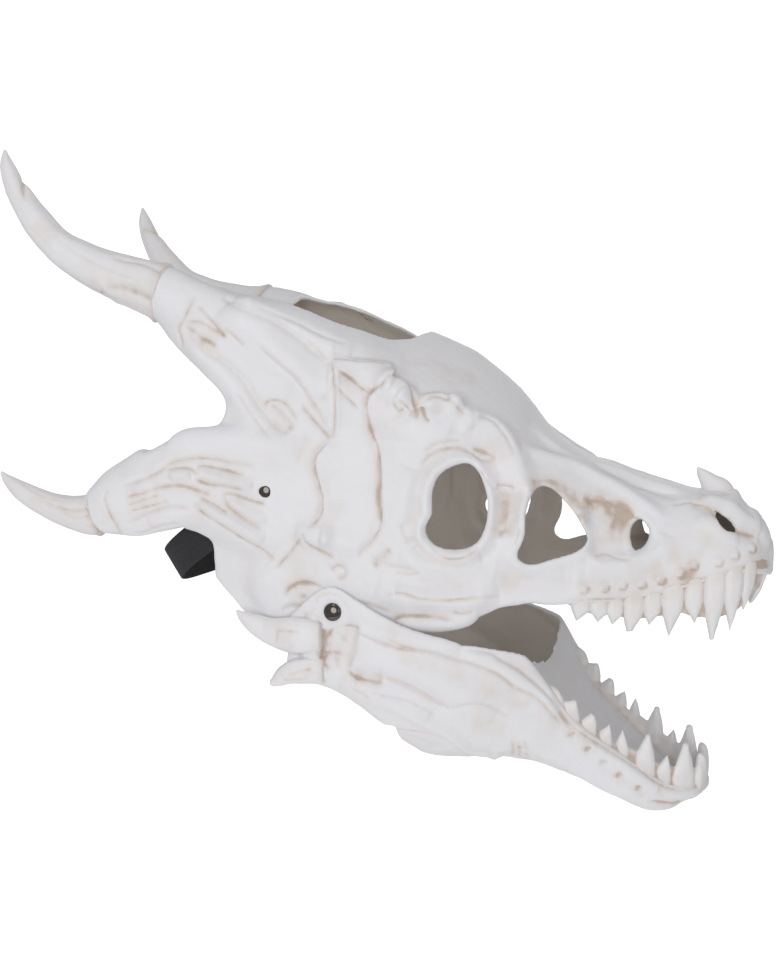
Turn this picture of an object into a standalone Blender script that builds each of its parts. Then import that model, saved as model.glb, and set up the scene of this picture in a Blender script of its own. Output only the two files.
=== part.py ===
"""Dragon skull mask with a moving lower jaw.

Metres, +Z up, +X out along the snout, +Y to the wearer's left. The origin is
on the mid-plane, on the line through the two strap rivets, where the head
goes in. The right half is modelled at negative Y and mirrored.
"""

import math

import bmesh
import bpy
import numpy as np
from mathutils import Matrix, Vector

MM = 0.001
GAP = 0.3  # clear space between neighbouring pieces
WALL = 3.0  # moulded shell of the skull and the jaw
SKIN = 1.5  # half of the wall, used where a piece is merged into it

PIVOT = (50.1, -81.4)  # x, z of the jaw hinge
STRAP_RIVET = (0.0, 0.0)  # x, z of the strap rivets
CAP_D, CAP_H = 12.5, 3.4  # domed rivet caps
SHANK_D, HOLE_D = 5.0, 5.6
BOSS_D = 30.0
CHEEK_Y = 104.6  # outer face of the skull at the hinge
RAMUS_Y = 109.6  # outer face of the jaw at the hinge
TEMPLE_Y = 107.0  # outer face of the skull at the strap rivet

STRAP_W, STRAP_T = 25.4, 1.5
STRAP_REACH = 120.0  # how far the strap stands behind the rivets
STRAP_DROP = math.radians(33.0)  # its fall below the horizontal

# Skull, half sections. x: station; top: ridge height; then half-width and
# height at the brow, the widest point, the cheek and the lower edge.
SKULL_COLUMNS = ("x", "top", "yb", "zb", "yw", "zw", "yc", "zc", "ye", "ze")
SKULL = [
    (-42, 152, 80, 144, 100, 80, 104, 5, 101, -60),
    (-15, 146, 80, 137, 100, 75, 105, 2, 102, -88),
    (0, 142, 80, 132, 100, 70, 105, 0, 102.5, -96),
    (30, 133, 79, 121, 100, 62, 105, -8, 104, -101),
    (60, 123, 78, 104, 98, 50, 104, -18, 104, -101),
    (88, 115, 79, 76, 95, 38, 101, -28, 100, -88),
    (105, 108, 80, 68, 93, 30, 98, -34, 97, -90),
    (122, 100, 77, 61, 90, 22, 94, -38, 93, -90),
    (140, 87, 73, 53, 86, 14, 90, -40, 88, -85),
    (160, 69, 64, 41, 80, 4, 84, -41, 81, -76),
    (178, 45, 55, 29, 74, -4, 79, -42, 76, -71),
    (195, 31, 49, 20, 68, -10, 73, -44, 72, -73),
    (215, 21, 42, 12, 60, -16, 66, -46, 66, -72),
    (240, 11.5, 34, 4, 50, -19, 57, -46, 58, -71.5),
    (265, 4.5, 28, -3, 43, -20, 50, -44, 52, -67),
    (290, 0, 26, -6, 39, -19, 46, -40, 48, -59),
    (310, -1.5, 22, -7, 34, -18, 41, -35, 43, -52.5),
    (325, -16, 14, -19, 24, -28, 31, -38, 33, -50),
    (333, -27, 8, -29, 14, -34, 18, -41, 19, -52),
    (338, -36, 3, -36.5, 5, -40, 6, -46, 5, -54),
]

# Lower jaw, half sections: top edge, flank, lower ridge, bottom on the plane.
JAW_COLUMNS = ("x", "yt", "zt", "yf", "zf", "yr", "zr", "bottom")
JAW = [
    (16, 109.6, -88, 109.6, -108, 107, -130, -137),
    (35, 109.6, -70, 109.6, -100, 107, -132, -139),
    (50, 109.6, -64, 109.6, -102, 106, -136, -146),
    (66, 109.6, -72, 109.6, -108, 104, -145, -160),
    (82, 109.6, -81, 109.0, -116, 101, -157, -178),
    (100, 108, -90, 106, -126, 94, -168, -194),
    (125, 103, -99, 101, -134, 88, -172, -196),
    (150, 94.5, -104, 93, -137, 80, -173, -195),
    (168, 86, -107, 86, -141, 74, -175, -196),
    (178, 80, -111, 81, -145, 70, -178, -198),
    (190, 73, -128, 75, -152, 65, -182, -202),
    (208, 64, -155, 66, -171, 56, -192, -209),
    (232, 53, -176, 55, -190, 46, -208, -221),
    (255, 44, -194, 46, -205, 37, -220, -231),
    (272, 36, -204, 37, -212, 29, -223, -230),
    (285, 27, -208, 27, -213, 20, -219, -222),
    (292, 19, -208, 19, -212, 14, -216, -218),
    (297.5, 5, -206, 5.5, -209, 4, -213, -215),
]

# Horns and the bony cores under them: x, y, z of the axis, half-height in
# the side view, half-thickness across.
TUBE_COLUMNS = ("x", "y", "z", "high", "thick")
UPPER_CORE = [
    (34, -70, 92, 18, 8),
    (4, -83, 96, 35, 15),
    (-30, -89, 103, 37, 18),
    (-57, -92, 124, 27, 18.5),
    (-74, -94, 136, 21.2, 17.5),
    (-82, -94.5, 139.5, 19.8, 17),
]
UPPER_HORN = [
    (-82, -94.5, 139.5, 21.6, 18.6),
    (-94, -95.5, 143, 18.8, 17),
    (-123.5, -98, 153, 15.8, 14.8),
    (-145, -100, 163, 13.8, 13),
    (-162, -102, 174.5, 12, 11.5),
    (-178.5, -103, 193, 10.6, 10),
    (-192, -104, 214, 8.2, 8),
    (-198.5, -105, 230, 5.5, 5.4),
    (-200.5, -105, 241, 1.6, 1.6),
]
CHEEK_CORE = [
    (34, -92, -8, 24, 8),
    (6, -97.5, -2, 37, 9),
    (-22, -104, 2, 38, 12.5),
    (-45, -109, 6.5, 36.5, 15),
    (-62, -111, 7, 34, 16),
    (-76, -112, 2, 31, 17),
    (-91, -114, -4.5, 28.5, 17),
    (-105, -116, -9.5, 25.5, 16),
    (-117, -117.5, -14.5, 19.5, 14.5),
    (-124, -118, -17.6, 15.6, 13),
]
CHEEK_HORN = [
    (-124, -118, -17.6, 16.8, 14.4),
    (-132, -118.5, -18.8, 14.2, 13),
    (-144, -119, -17.5, 11.9, 11.5),
    (-157, -119.5, -14.5, 10, 10),
    (-170, -120, -9.5, 8.5, 8.5),
    (-183, -120.5, -3, 6.8, 6.8),
    (-193, -121, 4, 4.2, 4.2),
    (-198.5, -121, 9.5, 1.4, 1.4),
]
NOSE_HORN = [
    (301, 0, -8, 13, 9),
    (297.5, 0, 0, 11, 7.5),
    (293, 0, 6, 6.5, 5.2),
    (288.5, 0, 11, 3.6, 3.2),
    (286, 0, 14.3, 1.3, 1.3),
]
UPPER_SPUR = [
    (40, -112, -98.5, 11, 5),
    (22, -113.8, -98.5, 12.5, 6.8),
    (6, -113.4, -96.5, 9.5, 6.3),
    (-6, -113.6, -92, 7, 5.6),
    (-13, -115, -87.5, 4, 3.7),
    (-17, -116, -83.5, 1.2, 1.2),
]
LOWER_SPUR = [
    (42, -111.5, -123, 8.5, 5),
    (26, -112.6, -123.5, 9, 6),
    (17, -112.6, -126.5, 7, 5.6),
    (11.5, -113, -130.5, 3.6, 3.6),
    (8.5, -114, -133, 1.2, 1.2),
]

# Openings in the side view, as blended outlines: x, z of points round them.
EYE = [(133, 19.5), (121, 13), (116, 0), (116, -14), (112, -25), (119, -35),
       (134, -37.5), (147, -31), (152, -12), (149, 6), (142, 18)]
FENESTRA = [(183, 3), (191, 3), (199, -4), (209, -16), (216, -31), (210, -39),
            (195, -44), (180, -48), (172, -42), (177, -28), (178, -10)]
PREORBITAL = [(250, -19), (256, -26), (254, -35), (247, -39), (244, -31), (245, -23)]
NOSTRIL = [(299, -13), (307, -18), (313, -26), (307, -25), (302, -20)]
# Side-view outline removed behind the rear edge of the skull shell.
REAR = [(-29, 175), (-31, 60), (-33, 44), (-24, 30), (-18, 0), (-12, -40), (6, -50),
        (2, -58), (-6, -68), (-11, -79), (-12, -92), (0, -112), (0, -130),
        (-90, -130), (-90, 175)]
# Top-view outline of the open crown, right half, front to back.
CROWN = [(91, 0), (89, 13), (82, 33), (69, 51), (50, 65), (28, 73), (0, 77), (-25, 78.5),
         (-130, 80)]

# Teeth: x, length below the lip, radius. The rows follow the lips.
UPPER_TEETH = [
    (207, 15, 4.0), (222, 17, 4.2), (233, 19, 4.4), (243, 24, 4.8), (256, 20, 4.8),
    (269, 31, 5.6), (286, 26, 5.2), (298, 40, 6.2), (310, 36, 5.6), (320, 28, 5.0),
    (328, 33, 4.6),
]
# The teeth across the front: x, y, length, radius.
UPPER_FRONT = [(329.0, -8.5, 27, 4.4)]
LOWER_FRONT = [(289.0, -6.5, 19, 3.8)]
LOWER_TEETH = [
    (196, 19, 4.2), (208, 19, 4.4), (219, 21, 4.6), (230, 23, 4.8), (240, 23, 4.6),
    (252, 31, 5.4), (265, 22, 5.0), (277, 36, 6.0), (287, 24, 4.6),
]

BONE = ("bone_white", (0.80, 0.79, 0.77), 0.55, 0.0)
IVORY = ("ivory_teeth", (0.84, 0.82, 0.79), 0.42, 0.0)
HORN = ("horn_white", (0.81, 0.79, 0.76), 0.5, 0.0)
NICKEL = ("dark_nickel", (0.30, 0.29, 0.28), 0.18, 1.0)
ELASTIC = ("black_elastic", (0.015, 0.015, 0.017), 0.9, 0.0)


# ---------------------------------------------------------------- set-up

for old in list(bpy.data.objects):
    bpy.data.objects.remove(old, do_unlink=True)

MASK = bpy.data.collections.new("dragon_skull_mask")
CUTTERS = bpy.data.collections.new("cutters")
bpy.context.scene.collection.children.link(MASK)
bpy.context.scene.collection.children.link(CUTTERS)
CUTTERS.hide_render = True


def material(spec):
    name, colour, roughness, metallic = spec
    found = bpy.data.materials.get(name)
    if found:
        return found
    made = bpy.data.materials.new(name)
    made.use_nodes = True
    shader = made.node_tree.nodes["Principled BSDF"]
    shader.inputs["Base Color"].default_value = (*colour, 1.0)
    shader.inputs["Roughness"].default_value = roughness
    shader.inputs["Metallic"].default_value = metallic
    return made


def add(name, mesh, helper=False, spec=None):
    obj = bpy.data.objects.new(name, mesh)
    (CUTTERS if helper else MASK).objects.link(obj)
    if helper:
        obj.hide_render = True
        obj.display_type = "WIRE"
    if spec:
        mesh.materials.append(material(spec))
    return obj


def smooth(mesh, angle=35.0):
    mesh.shade_smooth()
    mesh.set_sharp_from_angle(angle=math.radians(angle))


def mesh_from(name, points, faces):
    """Closed or open surface from points in millimetres."""
    made = bmesh.new()
    verts = [made.verts.new(Vector(p) * MM) for p in points]
    for face in faces:
        made.faces.new([verts[k] for k in face])
    mesh = bpy.data.meshes.new(name)
    made.to_mesh(mesh)
    made.free()
    return mesh


def settle(obj):
    """Turns the object's modifiers into its mesh."""
    graph = bpy.context.evaluated_depsgraph_get()
    mesh = bpy.data.meshes.new_from_object(obj.evaluated_get(graph))
    obj.modifiers.clear()
    obj.data = mesh
    return obj


def thin(mesh, angle=3.5):
    """Joins faces that lie in one plane, which cutting has split."""
    made = bmesh.new()
    made.from_mesh(mesh)
    bmesh.ops.dissolve_limit(made, angle_limit=math.radians(angle), verts=made.verts,
                             edges=made.edges)
    bmesh.ops.triangulate(made, faces=made.faces)
    made.to_mesh(mesh)
    made.free()


def main_body(mesh):
    """Drops the crumbs that trimming leaves beside the main body."""
    made = bmesh.new()
    made.from_mesh(mesh)
    islands, seen = [], set()
    for start in made.verts:
        if start in seen:
            continue
        island, stack = [], [start]
        seen.add(start)
        while stack:
            vert = stack.pop()
            island.append(vert)
            for edge in vert.link_edges:
                other = edge.other_vert(vert)
                if other not in seen:
                    seen.add(other)
                    stack.append(other)
        islands.append(island)
    islands.sort(key=len)
    bmesh.ops.delete(made, geom=[v for island in islands[:-1] for v in island], context="VERTS")
    made.to_mesh(mesh)
    made.free()


def boolean(obj, operation, *others):
    for other in others:
        step = obj.modifiers.new(operation.lower() + "_" + other.name, "BOOLEAN")
        step.operation = operation
        step.solver = "EXACT"
        step.object = other
    return obj


def mirror_object(obj, name):
    """A left-hand copy of a right-hand piece."""
    settle(obj)
    mesh = obj.data.copy()
    mesh.transform(Matrix.Scale(-1, 4, (0, 1, 0)))
    mesh.flip_normals()
    made = bpy.data.objects.new(name, mesh)
    obj.users_collection[0].objects.link(made)
    return made


# ---------------------------------------------------------------- curves


def hermite(table, column, x):
    """A column of a table at x, on a smooth curve through its rows."""
    xs = [row[0] for row in table]
    ys = [row[column] for row in table]
    k = min(max(int(np.searchsorted(xs, x)) - 1, 0), len(xs) - 2)

    def slope(i):
        a, b = max(i - 1, 0), min(i + 1, len(xs) - 1)
        return (ys[b] - ys[a]) / (xs[b] - xs[a])

    h = xs[k + 1] - xs[k]
    t = min(max((x - xs[k]) / h, 0.0), 1.0)
    return (
        (2 * t**3 - 3 * t**2 + 1) * ys[k]
        + (t**3 - 2 * t**2 + t) * h * slope(k)
        + (-2 * t**3 + 3 * t**2) * ys[k + 1]
        + (t**3 - t**2) * h * slope(k + 1)
    )


def through(points, per_span, closed=False):
    """Points on a Catmull-Rom curve through the given ones."""
    pts = [np.array(p, float) for p in points]
    count = len(pts)
    spans = count if closed else count - 1

    def at(i):
        return pts[i % count] if closed else pts[min(max(i, 0), count - 1)]

    out = []
    for i in range(spans):
        a, b, c, d = at(i - 1), at(i), at(i + 1), at(i + 2)
        for s in range(per_span):
            t = s / per_span
            out.append(0.5 * (2 * b + (c - a) * t + (2 * a - 5 * b + 4 * c - d) * t**2
                              + (3 * b - a - 3 * c + d) * t**3))
    if not closed:
        out.append(pts[-1])
    return out


def stations(table, longest):
    """The table's own stations, with more between them where they lie far apart."""
    xs = []
    for a, b in zip(table, table[1:]):
        steps = max(1, math.ceil((b[0] - a[0]) / longest))
        xs += [a[0] + (b[0] - a[0]) * k / steps for k in range(steps)]
    return xs + [table[-1][0]]


def skull_half(x):
    """Half section of the skull at x, from the ridge to the lower edge."""
    v = [hermite(SKULL, c, x) for c in range(1, 10)]
    knots = [(0, v[0]), (v[1], v[2]), (v[3], v[4]), (v[5], v[6]), (v[7], v[8])]
    ghost = [(-0.8 * v[1], v[2])] + knots
    half = through(ghost, 3)[3:]
    return [(x, -max(p[0], 0.0), p[1]) for p in half]


def jaw_half(x):
    """Half section of the jaw at x, from its top edge to the bottom plane."""
    v = [hermite(JAW, c, x) for c in range(1, 8)]
    knots = [(v[0], v[1]), (v[2], v[3]), (v[4], v[5]), (0.5 * v[4], v[6] + 1.5), (0, v[6])]
    half = through(knots, 2)
    return [(x, -max(p[0], 0.0), p[1]) for p in half]


def half_surface(name, rows, closing=None):
    """A loft through half sections, open at the mirror plane. With closing, each
    section goes on to the plane at that height and the two ends are capped."""
    rows = [list(r) for r in rows]
    rows = [[(x, 0.0 if abs(y) < 0.05 else y, z) for x, y, z in r] for r in rows]
    if closing is not None:
        rows = [r + [(r[-1][0], 0.0, r[-1][2])] if closing == "bottom"
                else [(r[0][0], 0.0, r[0][2])] + r for r in rows]
    width = len(rows[0])
    points = [p for r in rows for p in r]
    faces = []
    for i in range(len(rows) - 1):
        for j in range(width - 1):
            faces.append((i * width + j, i * width + j + 1, (i + 1) * width + j + 1,
                          (i + 1) * width + j))
    if closing is not None:
        faces.append(tuple(reversed(range(width))))
        faces.append(tuple((len(rows) - 1) * width + j for j in range(width)))
    mesh = mesh_from(name, points, faces)
    made = bmesh.new()
    made.from_mesh(mesh)
    bmesh.ops.remove_doubles(made, verts=made.verts, dist=0.02 * MM)
    bmesh.ops.dissolve_degenerate(made, edges=made.edges, dist=0.005 * MM)
    made.to_mesh(mesh)
    made.free()
    return mesh


def mirrored(obj):
    step = obj.modifiers.new("mirror", "MIRROR")
    step.use_axis = (False, True, False)
    step.use_clip = True
    step.merge_threshold = 0.00005
    return obj


def tube(name, table, sides=12, per_span=2, helper=False, spec=None):
    """A tapered horn: ellipses across the axis of the table, capped at both ends."""
    rows = through(table, per_span)
    centres = [np.array(r[:3]) for r in rows]
    points = []
    for k, row in enumerate(rows):
        along = centres[min(k + 1, len(rows) - 1)] - centres[max(k - 1, 0)]
        along /= np.linalg.norm(along)
        across = np.array([0.0, 1.0, 0.0])
        across -= along * across.dot(along)
        across /= np.linalg.norm(across)
        up = np.cross(along, across)
        for s in range(sides):
            turn = 2 * math.pi * s / sides
            points.append(tuple(centres[k] + across * row[4] * math.cos(turn)
                                + up * row[3] * math.sin(turn)))
    faces = []
    for k in range(len(rows) - 1):
        for s in range(sides):
            n = (s + 1) % sides
            faces.append((k * sides + s, k * sides + n, (k + 1) * sides + n, (k + 1) * sides + s))
    faces.append(tuple(reversed(range(sides))))
    faces.append(tuple((len(rows) - 1) * sides + s for s in range(sides)))
    mesh = mesh_from(name, points, faces)
    outward(mesh)
    return add(name, mesh, helper, spec)


def outward(mesh):
    """Flat triangles, facing out, so that every cut is exact."""
    made = bmesh.new()
    made.from_mesh(mesh)
    bmesh.ops.triangulate(made, faces=made.faces)
    bmesh.ops.recalc_face_normals(made, faces=made.faces)
    made.to_mesh(mesh)
    made.free()


def prism(name, outline, low, high, axis="Y"):
    """A closed outline in XZ (axis Y) or XY (axis Z), between two planes."""
    count = len(outline)
    if axis == "Y":
        points = [(p[0], low, p[1]) for p in outline] + [(p[0], high, p[1]) for p in outline]
    else:
        points = [(p[0], p[1], low) for p in outline] + [(p[0], p[1], high) for p in outline]
    faces = [tuple(range(count)), tuple(reversed(range(count, 2 * count)))]
    for k in range(count):
        n = (k + 1) % count
        faces.append((k, k + count, n + count, n))
    mesh = mesh_from(name, points, faces)
    outward(mesh)
    return add(name, mesh, helper=True)


def block(name, low, high, turn=None, about=(0, 0, 0)):
    """A box from a primitive cube, turned about the Y axis if asked."""
    made = bmesh.new()
    bmesh.ops.create_cube(made, size=1.0)
    size = [(b - a) * MM for a, b in zip(low, high)]
    centre = Vector([(a + b) / 2 * MM for a, b in zip(low, high)])
    bmesh.ops.scale(made, vec=size, verts=made.verts)
    bmesh.ops.translate(made, vec=centre, verts=made.verts)
    if turn:
        pivot = Vector(about) * MM
        bmesh.ops.rotate(made, cent=pivot, matrix=Matrix.Rotation(turn, 3, "Y"), verts=made.verts)
    mesh = bpy.data.meshes.new(name)
    made.to_mesh(mesh)
    made.free()
    return add(name, mesh, helper=True)


def rod(name, x, z, y0, y1, diameter, sides=24):
    """A cylinder along Y, used to drill or to build up."""
    made = bmesh.new()
    bmesh.ops.create_cone(made, cap_ends=True, segments=sides, radius1=diameter / 2 * MM,
                          radius2=diameter / 2 * MM, depth=abs(y1 - y0) * MM)
    bmesh.ops.rotate(made, cent=(0, 0, 0), matrix=Matrix.Rotation(math.pi / 2, 3, "X"),
                     verts=made.verts)
    bmesh.ops.translate(made, vec=Vector((x, (y0 + y1) / 2, z)) * MM, verts=made.verts)
    mesh = bpy.data.meshes.new(name)
    made.to_mesh(mesh)
    made.free()
    return add(name, mesh, helper=True)


def swollen(obj, name, by):
    """A copy of a piece grown by a clearance, to trim its neighbours with."""
    copy = add(name, obj.data.copy(), helper=True)
    step = copy.modifiers.new("grow", "DISPLACE")
    step.direction = "NORMAL"
    step.mid_level = 0.0
    step.strength = by * MM
    return copy


# ---------------------------------------------------------------- skull


def inset_rows(rows, by, last, end):
    """The half sections moved inwards by a wall, for the hollow inside them."""
    out = []
    for row in rows:
        if row[0][0] > last:
            break
        inner = []
        for j, (x, y, z) in enumerate(row):
            a, b = row[max(j - 1, 0)], row[min(j + 1, len(row) - 1)]
            along = np.array([b[1] - a[1], b[2] - a[2]])
            along /= max(np.linalg.norm(along), 1e-6)
            inward = np.array([-along[1], along[0]])
            if (j == 0 or j == len(row) - 1) and abs(y) < 0.01:
                inward = np.array([0.0, end])
            inner.append((x, min(y + inward[0] * by, 0.0), z + inward[1] * by))
        out.append(inner)
    return out


skull_rows = [skull_half(x) for x in stations(SKULL, 18.0)]
skull = mirrored(add("skull_shell", half_surface("skull_shell", skull_rows, "bottom"), spec=BONE))
settle(skull)
outward(skull.data)
snout = add("snout_solid", skull.data.copy(), helper=True)

# The hollow runs on past the rear and lower edges.
inner = inset_rows(skull_rows, WALL, 326.0, -1.0)
inner = [row + [(row[-1][0], row[-1][1], row[-1][2] - 60.0)] for row in inner]
inner = [[(-150.0, y, z) for x, y, z in inner[0]]] + inner
hollow = mirrored(add("head_hollow", half_surface("head_hollow", inner, "bottom"), helper=True))
settle(hollow)
outward(hollow.data)

# The roof of the mouth spans the snout, its rim sunk in the middle of the wall.
bed_rows = inset_rows(skull_rows, SKIN, 334.0, -1.0)
bed = mirrored(add("palate_bed", half_surface("palate_bed", bed_rows, "bottom"), helper=True))
settle(bed)
outward(bed.data)
palate = block("palate", (228, -80, -51), (345, 80, -48), turn=math.radians(-7.0),
               about=(290, 0, -50))
boolean(palate, "INTERSECT", bed)
settle(palate)
outward(palate.data)

rear = prism("rear_cut", REAR, -140, 140)
crown_half = through(CROWN, 3)
crown = prism("crown_cut", [(p[0], p[1]) for p in crown_half]
              + [(p[0], -p[1]) for p in reversed(crown_half[1:])], 60, 240, axis="Z")
eyes = prism("eye_cut", through(EYE, 2, closed=True), -150, 150)
fenestrae = prism("fenestra_cut", through(FENESTRA, 2, closed=True), -150, 150)
ovals = prism("preorbital_cut", through(PREORBITAL, 2, closed=True), -150, 150)
nostrils = prism("nostril_cut", through(NOSTRIL, 1, closed=True), -150, 150)

cores, core_hollows = [], []
for side in (1, -1):
    for label, table in (("upper_core", UPPER_CORE), ("cheek_core", CHEEK_CORE)):
        rows = [(x, y * side, z, high, thick) for x, y, z, high, thick in table]
        within = [(x, y * side, z, high - 3.5, thick - 3.5) for x, y, z, high, thick in table[:-1]]
        core_hollows.append(tube(f"{label}_hollow_{side}", within, sides=10, per_span=1,
                                 helper=True))
        core = tube(f"{label}_{'right' if side > 0 else 'left'}", rows, sides=12, helper=True, per_span=1)
        cores.append(core)
bosses = []
for side in (-1, 1):
    bosses.append(rod(f"cheek_boss_{side}", *PIVOT, side * (CHEEK_Y - 5), side * CHEEK_Y, BOSS_D))
    bosses.append(rod(f"temple_boss_{side}", *STRAP_RIVET, side * (TEMPLE_Y - 4),
                      side * TEMPLE_Y, 17.0))
pivot_hole = rod("pivot_hole", *PIVOT, -130, 130, HOLE_D)
strap_hole = rod("strap_hole", *STRAP_RIVET, -130, 130, HOLE_D)
# Flat seats inside for the strap ends and the hinge washers.
seats = [block("strap_seat", (-70, -(TEMPLE_Y - 3.4), -15), (19, TEMPLE_Y - 3.4, 15),
               turn=-STRAP_DROP),
         rod("washer_seat", *PIVOT, -(CHEEK_Y - 3.0), CHEEK_Y - 3.0, 16.0)]
faces_cut = [rod(f"cheek_face_{s}", *PIVOT, s * CHEEK_Y, s * (CHEEK_Y + 12), BOSS_D + 4)
             for s in (-1, 1)]
faces_cut += [rod(f"temple_face_{s}", *STRAP_RIVET, s * TEMPLE_Y, s * (TEMPLE_Y + 20), 17.0)
              for s in (-1, 1)]

boolean(skull, "DIFFERENCE", rear)
boolean(skull, "UNION", *cores, *bosses)
boolean(skull, "DIFFERENCE", *core_hollows, hollow)
boolean(skull, "UNION", palate)
boolean(skull, "DIFFERENCE", crown, eyes, fenestrae, ovals, nostrils, *seats, *faces_cut,
        pivot_hole, strap_hole)
settle(skull)
thin(skull.data)
smooth(skull.data)

# ---------------------------------------------------------------- jaw

jaw_rows = [jaw_half(x) for x in stations(JAW, 18.0)]
jaw = mirrored(add("jaw_shell", half_surface("jaw_shell", jaw_rows, "top"), spec=BONE))
settle(jaw)
outward(jaw.data)
trough = add("jaw_solid", jaw.data.copy(), helper=True)

inner = inset_rows(jaw_rows, WALL, 288.0, 1.0)
inner = [[(row[0][0], row[0][1], row[0][2] + 60.0)] + row for row in inner]
inner = [[(-40.0, y, z) for x, y, z in inner[0]]] + inner
mouth = mirrored(add("jaw_hollow", half_surface("jaw_hollow", inner, "top"), helper=True))
settle(mouth)
outward(mouth.data)
# Floor of the mouth, between the tooth rows, falling forward with the lips.
floor_rows = []
for x in np.linspace(180, 288, 9):
    half = hermite(JAW, 1, x) - SKIN
    floor_rows.append([(x, -half * (1 - t), hermite(JAW, 2, x) - 4.5 - 6 * (1 - (1 - t) ** 2))
                       for t in np.linspace(0, 1, 4)])
floor = mirrored(add("mouth_floor", half_surface("mouth_floor", floor_rows), helper=True))
panel = floor.modifiers.new("panel", "SOLIDIFY")
panel.thickness = 2.5 * MM
panel.offset = 0.0
settle(floor)
outward(floor.data)
# The throat stays open behind and below.
throat = prism("throat_cut", [(-20, -60), (86, -60), (92, -215), (-20, -215)], -97, 97)
jaw_bosses = [rod(f"ramus_boss_{s}", *PIVOT, s * (RAMUS_Y - WALL), s * RAMUS_Y, 24.0)
              for s in (-1, 1)]
ramus_faces = [rod(f"ramus_face_{s}", *PIVOT, s * RAMUS_Y, s * (RAMUS_Y + 12), 26.0)
               for s in (-1, 1)]
ramus_clear = rod("ramus_clear", *PIVOT, -(RAMUS_Y - WALL), RAMUS_Y - WALL, 34.0)
boolean(jaw, "DIFFERENCE", throat, mouth)
boolean(jaw, "UNION", floor, *jaw_bosses)
boolean(jaw, "DIFFERENCE", *ramus_faces, ramus_clear, pivot_hole)
settle(jaw)
thin(jaw.data)
smooth(jaw.data)

# ---------------------------------------------------------------- horns

skull_grown = swollen(skull, "skull_grown", GAP * 1.2)
jaw_grown = swollen(jaw, "jaw_grown", GAP * 1.2)


def pulled_back(table, gap):
    """The horn's rows, with its root moved a gap along its axis from the core."""
    first, second = np.array(table[0], float), np.array(table[1], float)
    step = second[:3] - first[:3]
    first[:3] += step / np.linalg.norm(step) * gap
    return [tuple(first)] + list(table[1:])


for label, table, grown in (
    ("upper_horn", UPPER_HORN, skull_grown),
    ("cheek_horn", CHEEK_HORN, skull_grown),
    ("jaw_spur_upper", UPPER_SPUR, jaw_grown),
    ("jaw_spur_lower", LOWER_SPUR, jaw_grown),
):
    rows = pulled_back(table, GAP) if grown is skull_grown else table
    right = tube(f"{label}_right", rows, sides=12 if grown is skull_grown else 8,
                 per_span=2 if grown is skull_grown else 1, spec=HORN)
    boolean(right, "DIFFERENCE", grown)
    settle(right)
    main_body(right.data)
    thin(right.data)
    left = mirror_object(right, f"{label}_left")
    smooth(right.data, 50)
    smooth(left.data, 50)

nose = tube("nose_horn", NOSE_HORN, sides=10, spec=HORN)
boolean(nose, "DIFFERENCE", skull_grown)
settle(nose)
main_body(nose.data)
smooth(nose.data, 50)

# ---------------------------------------------------------------- teeth


def lip(table, column_y, column_z, x, inset):
    """A point under the lip line at x, moved in from the outer face by inset."""
    y, z = hermite(table, column_y, x), hermite(table, column_z, x)
    slope = (hermite(table, column_y, x + 1) - hermite(table, column_y, x - 1)) / 2
    across = 1 / math.sqrt(1 + slope * slope)
    return np.array([x - slope * across * inset * -1.0, -(y - inset * across), z])


def gum(name, table, cy, cz, x0, x1, inset, lift, radius, tip):
    """The strip that the teeth stand on: a bevelled curve round inside the lip."""
    line = [lip(table, cy, cz, x, inset) + np.array([0, 0, lift])
            for x in np.linspace(x0, x1, 9)]
    line = [p for p in line if p[1] < -1.0]
    front = np.array([tip, 0.0, line[-1][2]])
    half = through(line + [np.array([tip - 3.0, -7.0, line[-1][2]])], 2) + [front]
    route = half + [p * np.array([1, -1, 1]) for p in reversed(half[:-1])]
    curve = bpy.data.curves.new(name + "_route", "CURVE")
    curve.dimensions = "3D"
    curve.bevel_depth = radius * MM
    curve.bevel_resolution = 0
    curve.use_fill_caps = True
    spline = curve.splines.new("POLY")
    spline.points.add(len(route) - 1)
    for point, p in zip(spline.points, route):
        point.co = (*(Vector(p) * MM), 1.0)
    guide = bpy.data.objects.new(name + "_route", curve)
    CUTTERS.objects.link(guide)
    bpy.context.view_layer.update()
    mesh = bpy.data.meshes.new_from_object(
        guide.evaluated_get(bpy.context.evaluated_depsgraph_get()))
    bm = bmesh.new()
    bm.from_mesh(mesh)
    bmesh.ops.remove_doubles(bm, verts=bm.verts, dist=0.00001)
    bmesh.ops.recalc_face_normals(bm, faces=bm.faces)
    bm.to_mesh(mesh)
    bm.free()
    bpy.data.objects.remove(guide)
    return add(name, mesh, spec=IVORY)


def tooth_rows(strip, table, cy, cz, teeth, front, inset, lift, down, lean):
    """Cones along the strip, each pointing down (or up) and leaning back."""
    places = [(lip(table, cy, cz, x, inset), length, radius) for x, length, radius in teeth]
    places += [(np.array([x, y, places[-1][0][2]]), length, radius)
               for x, y, length, radius in front]
    for k, (root, length, radius) in enumerate(places):
        base = root + np.array([0, 0, lift])
        tip = root + np.array([-lean * length, 0, -length if down else length])
        for side in (1, -1):
            a = Vector(base * np.array([1, side, 1])) * MM
            b = Vector(tip * np.array([1, side, 1])) * MM
            made = bmesh.new()
            bmesh.ops.create_cone(made, cap_ends=True, segments=6, radius1=radius * MM,
                                  radius2=0.5 * MM, depth=(b - a).length)
            turn = Vector((0, 0, 1)).rotation_difference(b - a).to_matrix().to_4x4()
            made.transform(Matrix.Translation((a + b) / 2) @ turn)
            mesh = bpy.data.meshes.new(f"{strip.name}_{k}_{side}")
            made.to_mesh(mesh)
            made.free()
            boolean(strip, "UNION", add(mesh.name, mesh, helper=True))


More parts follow.
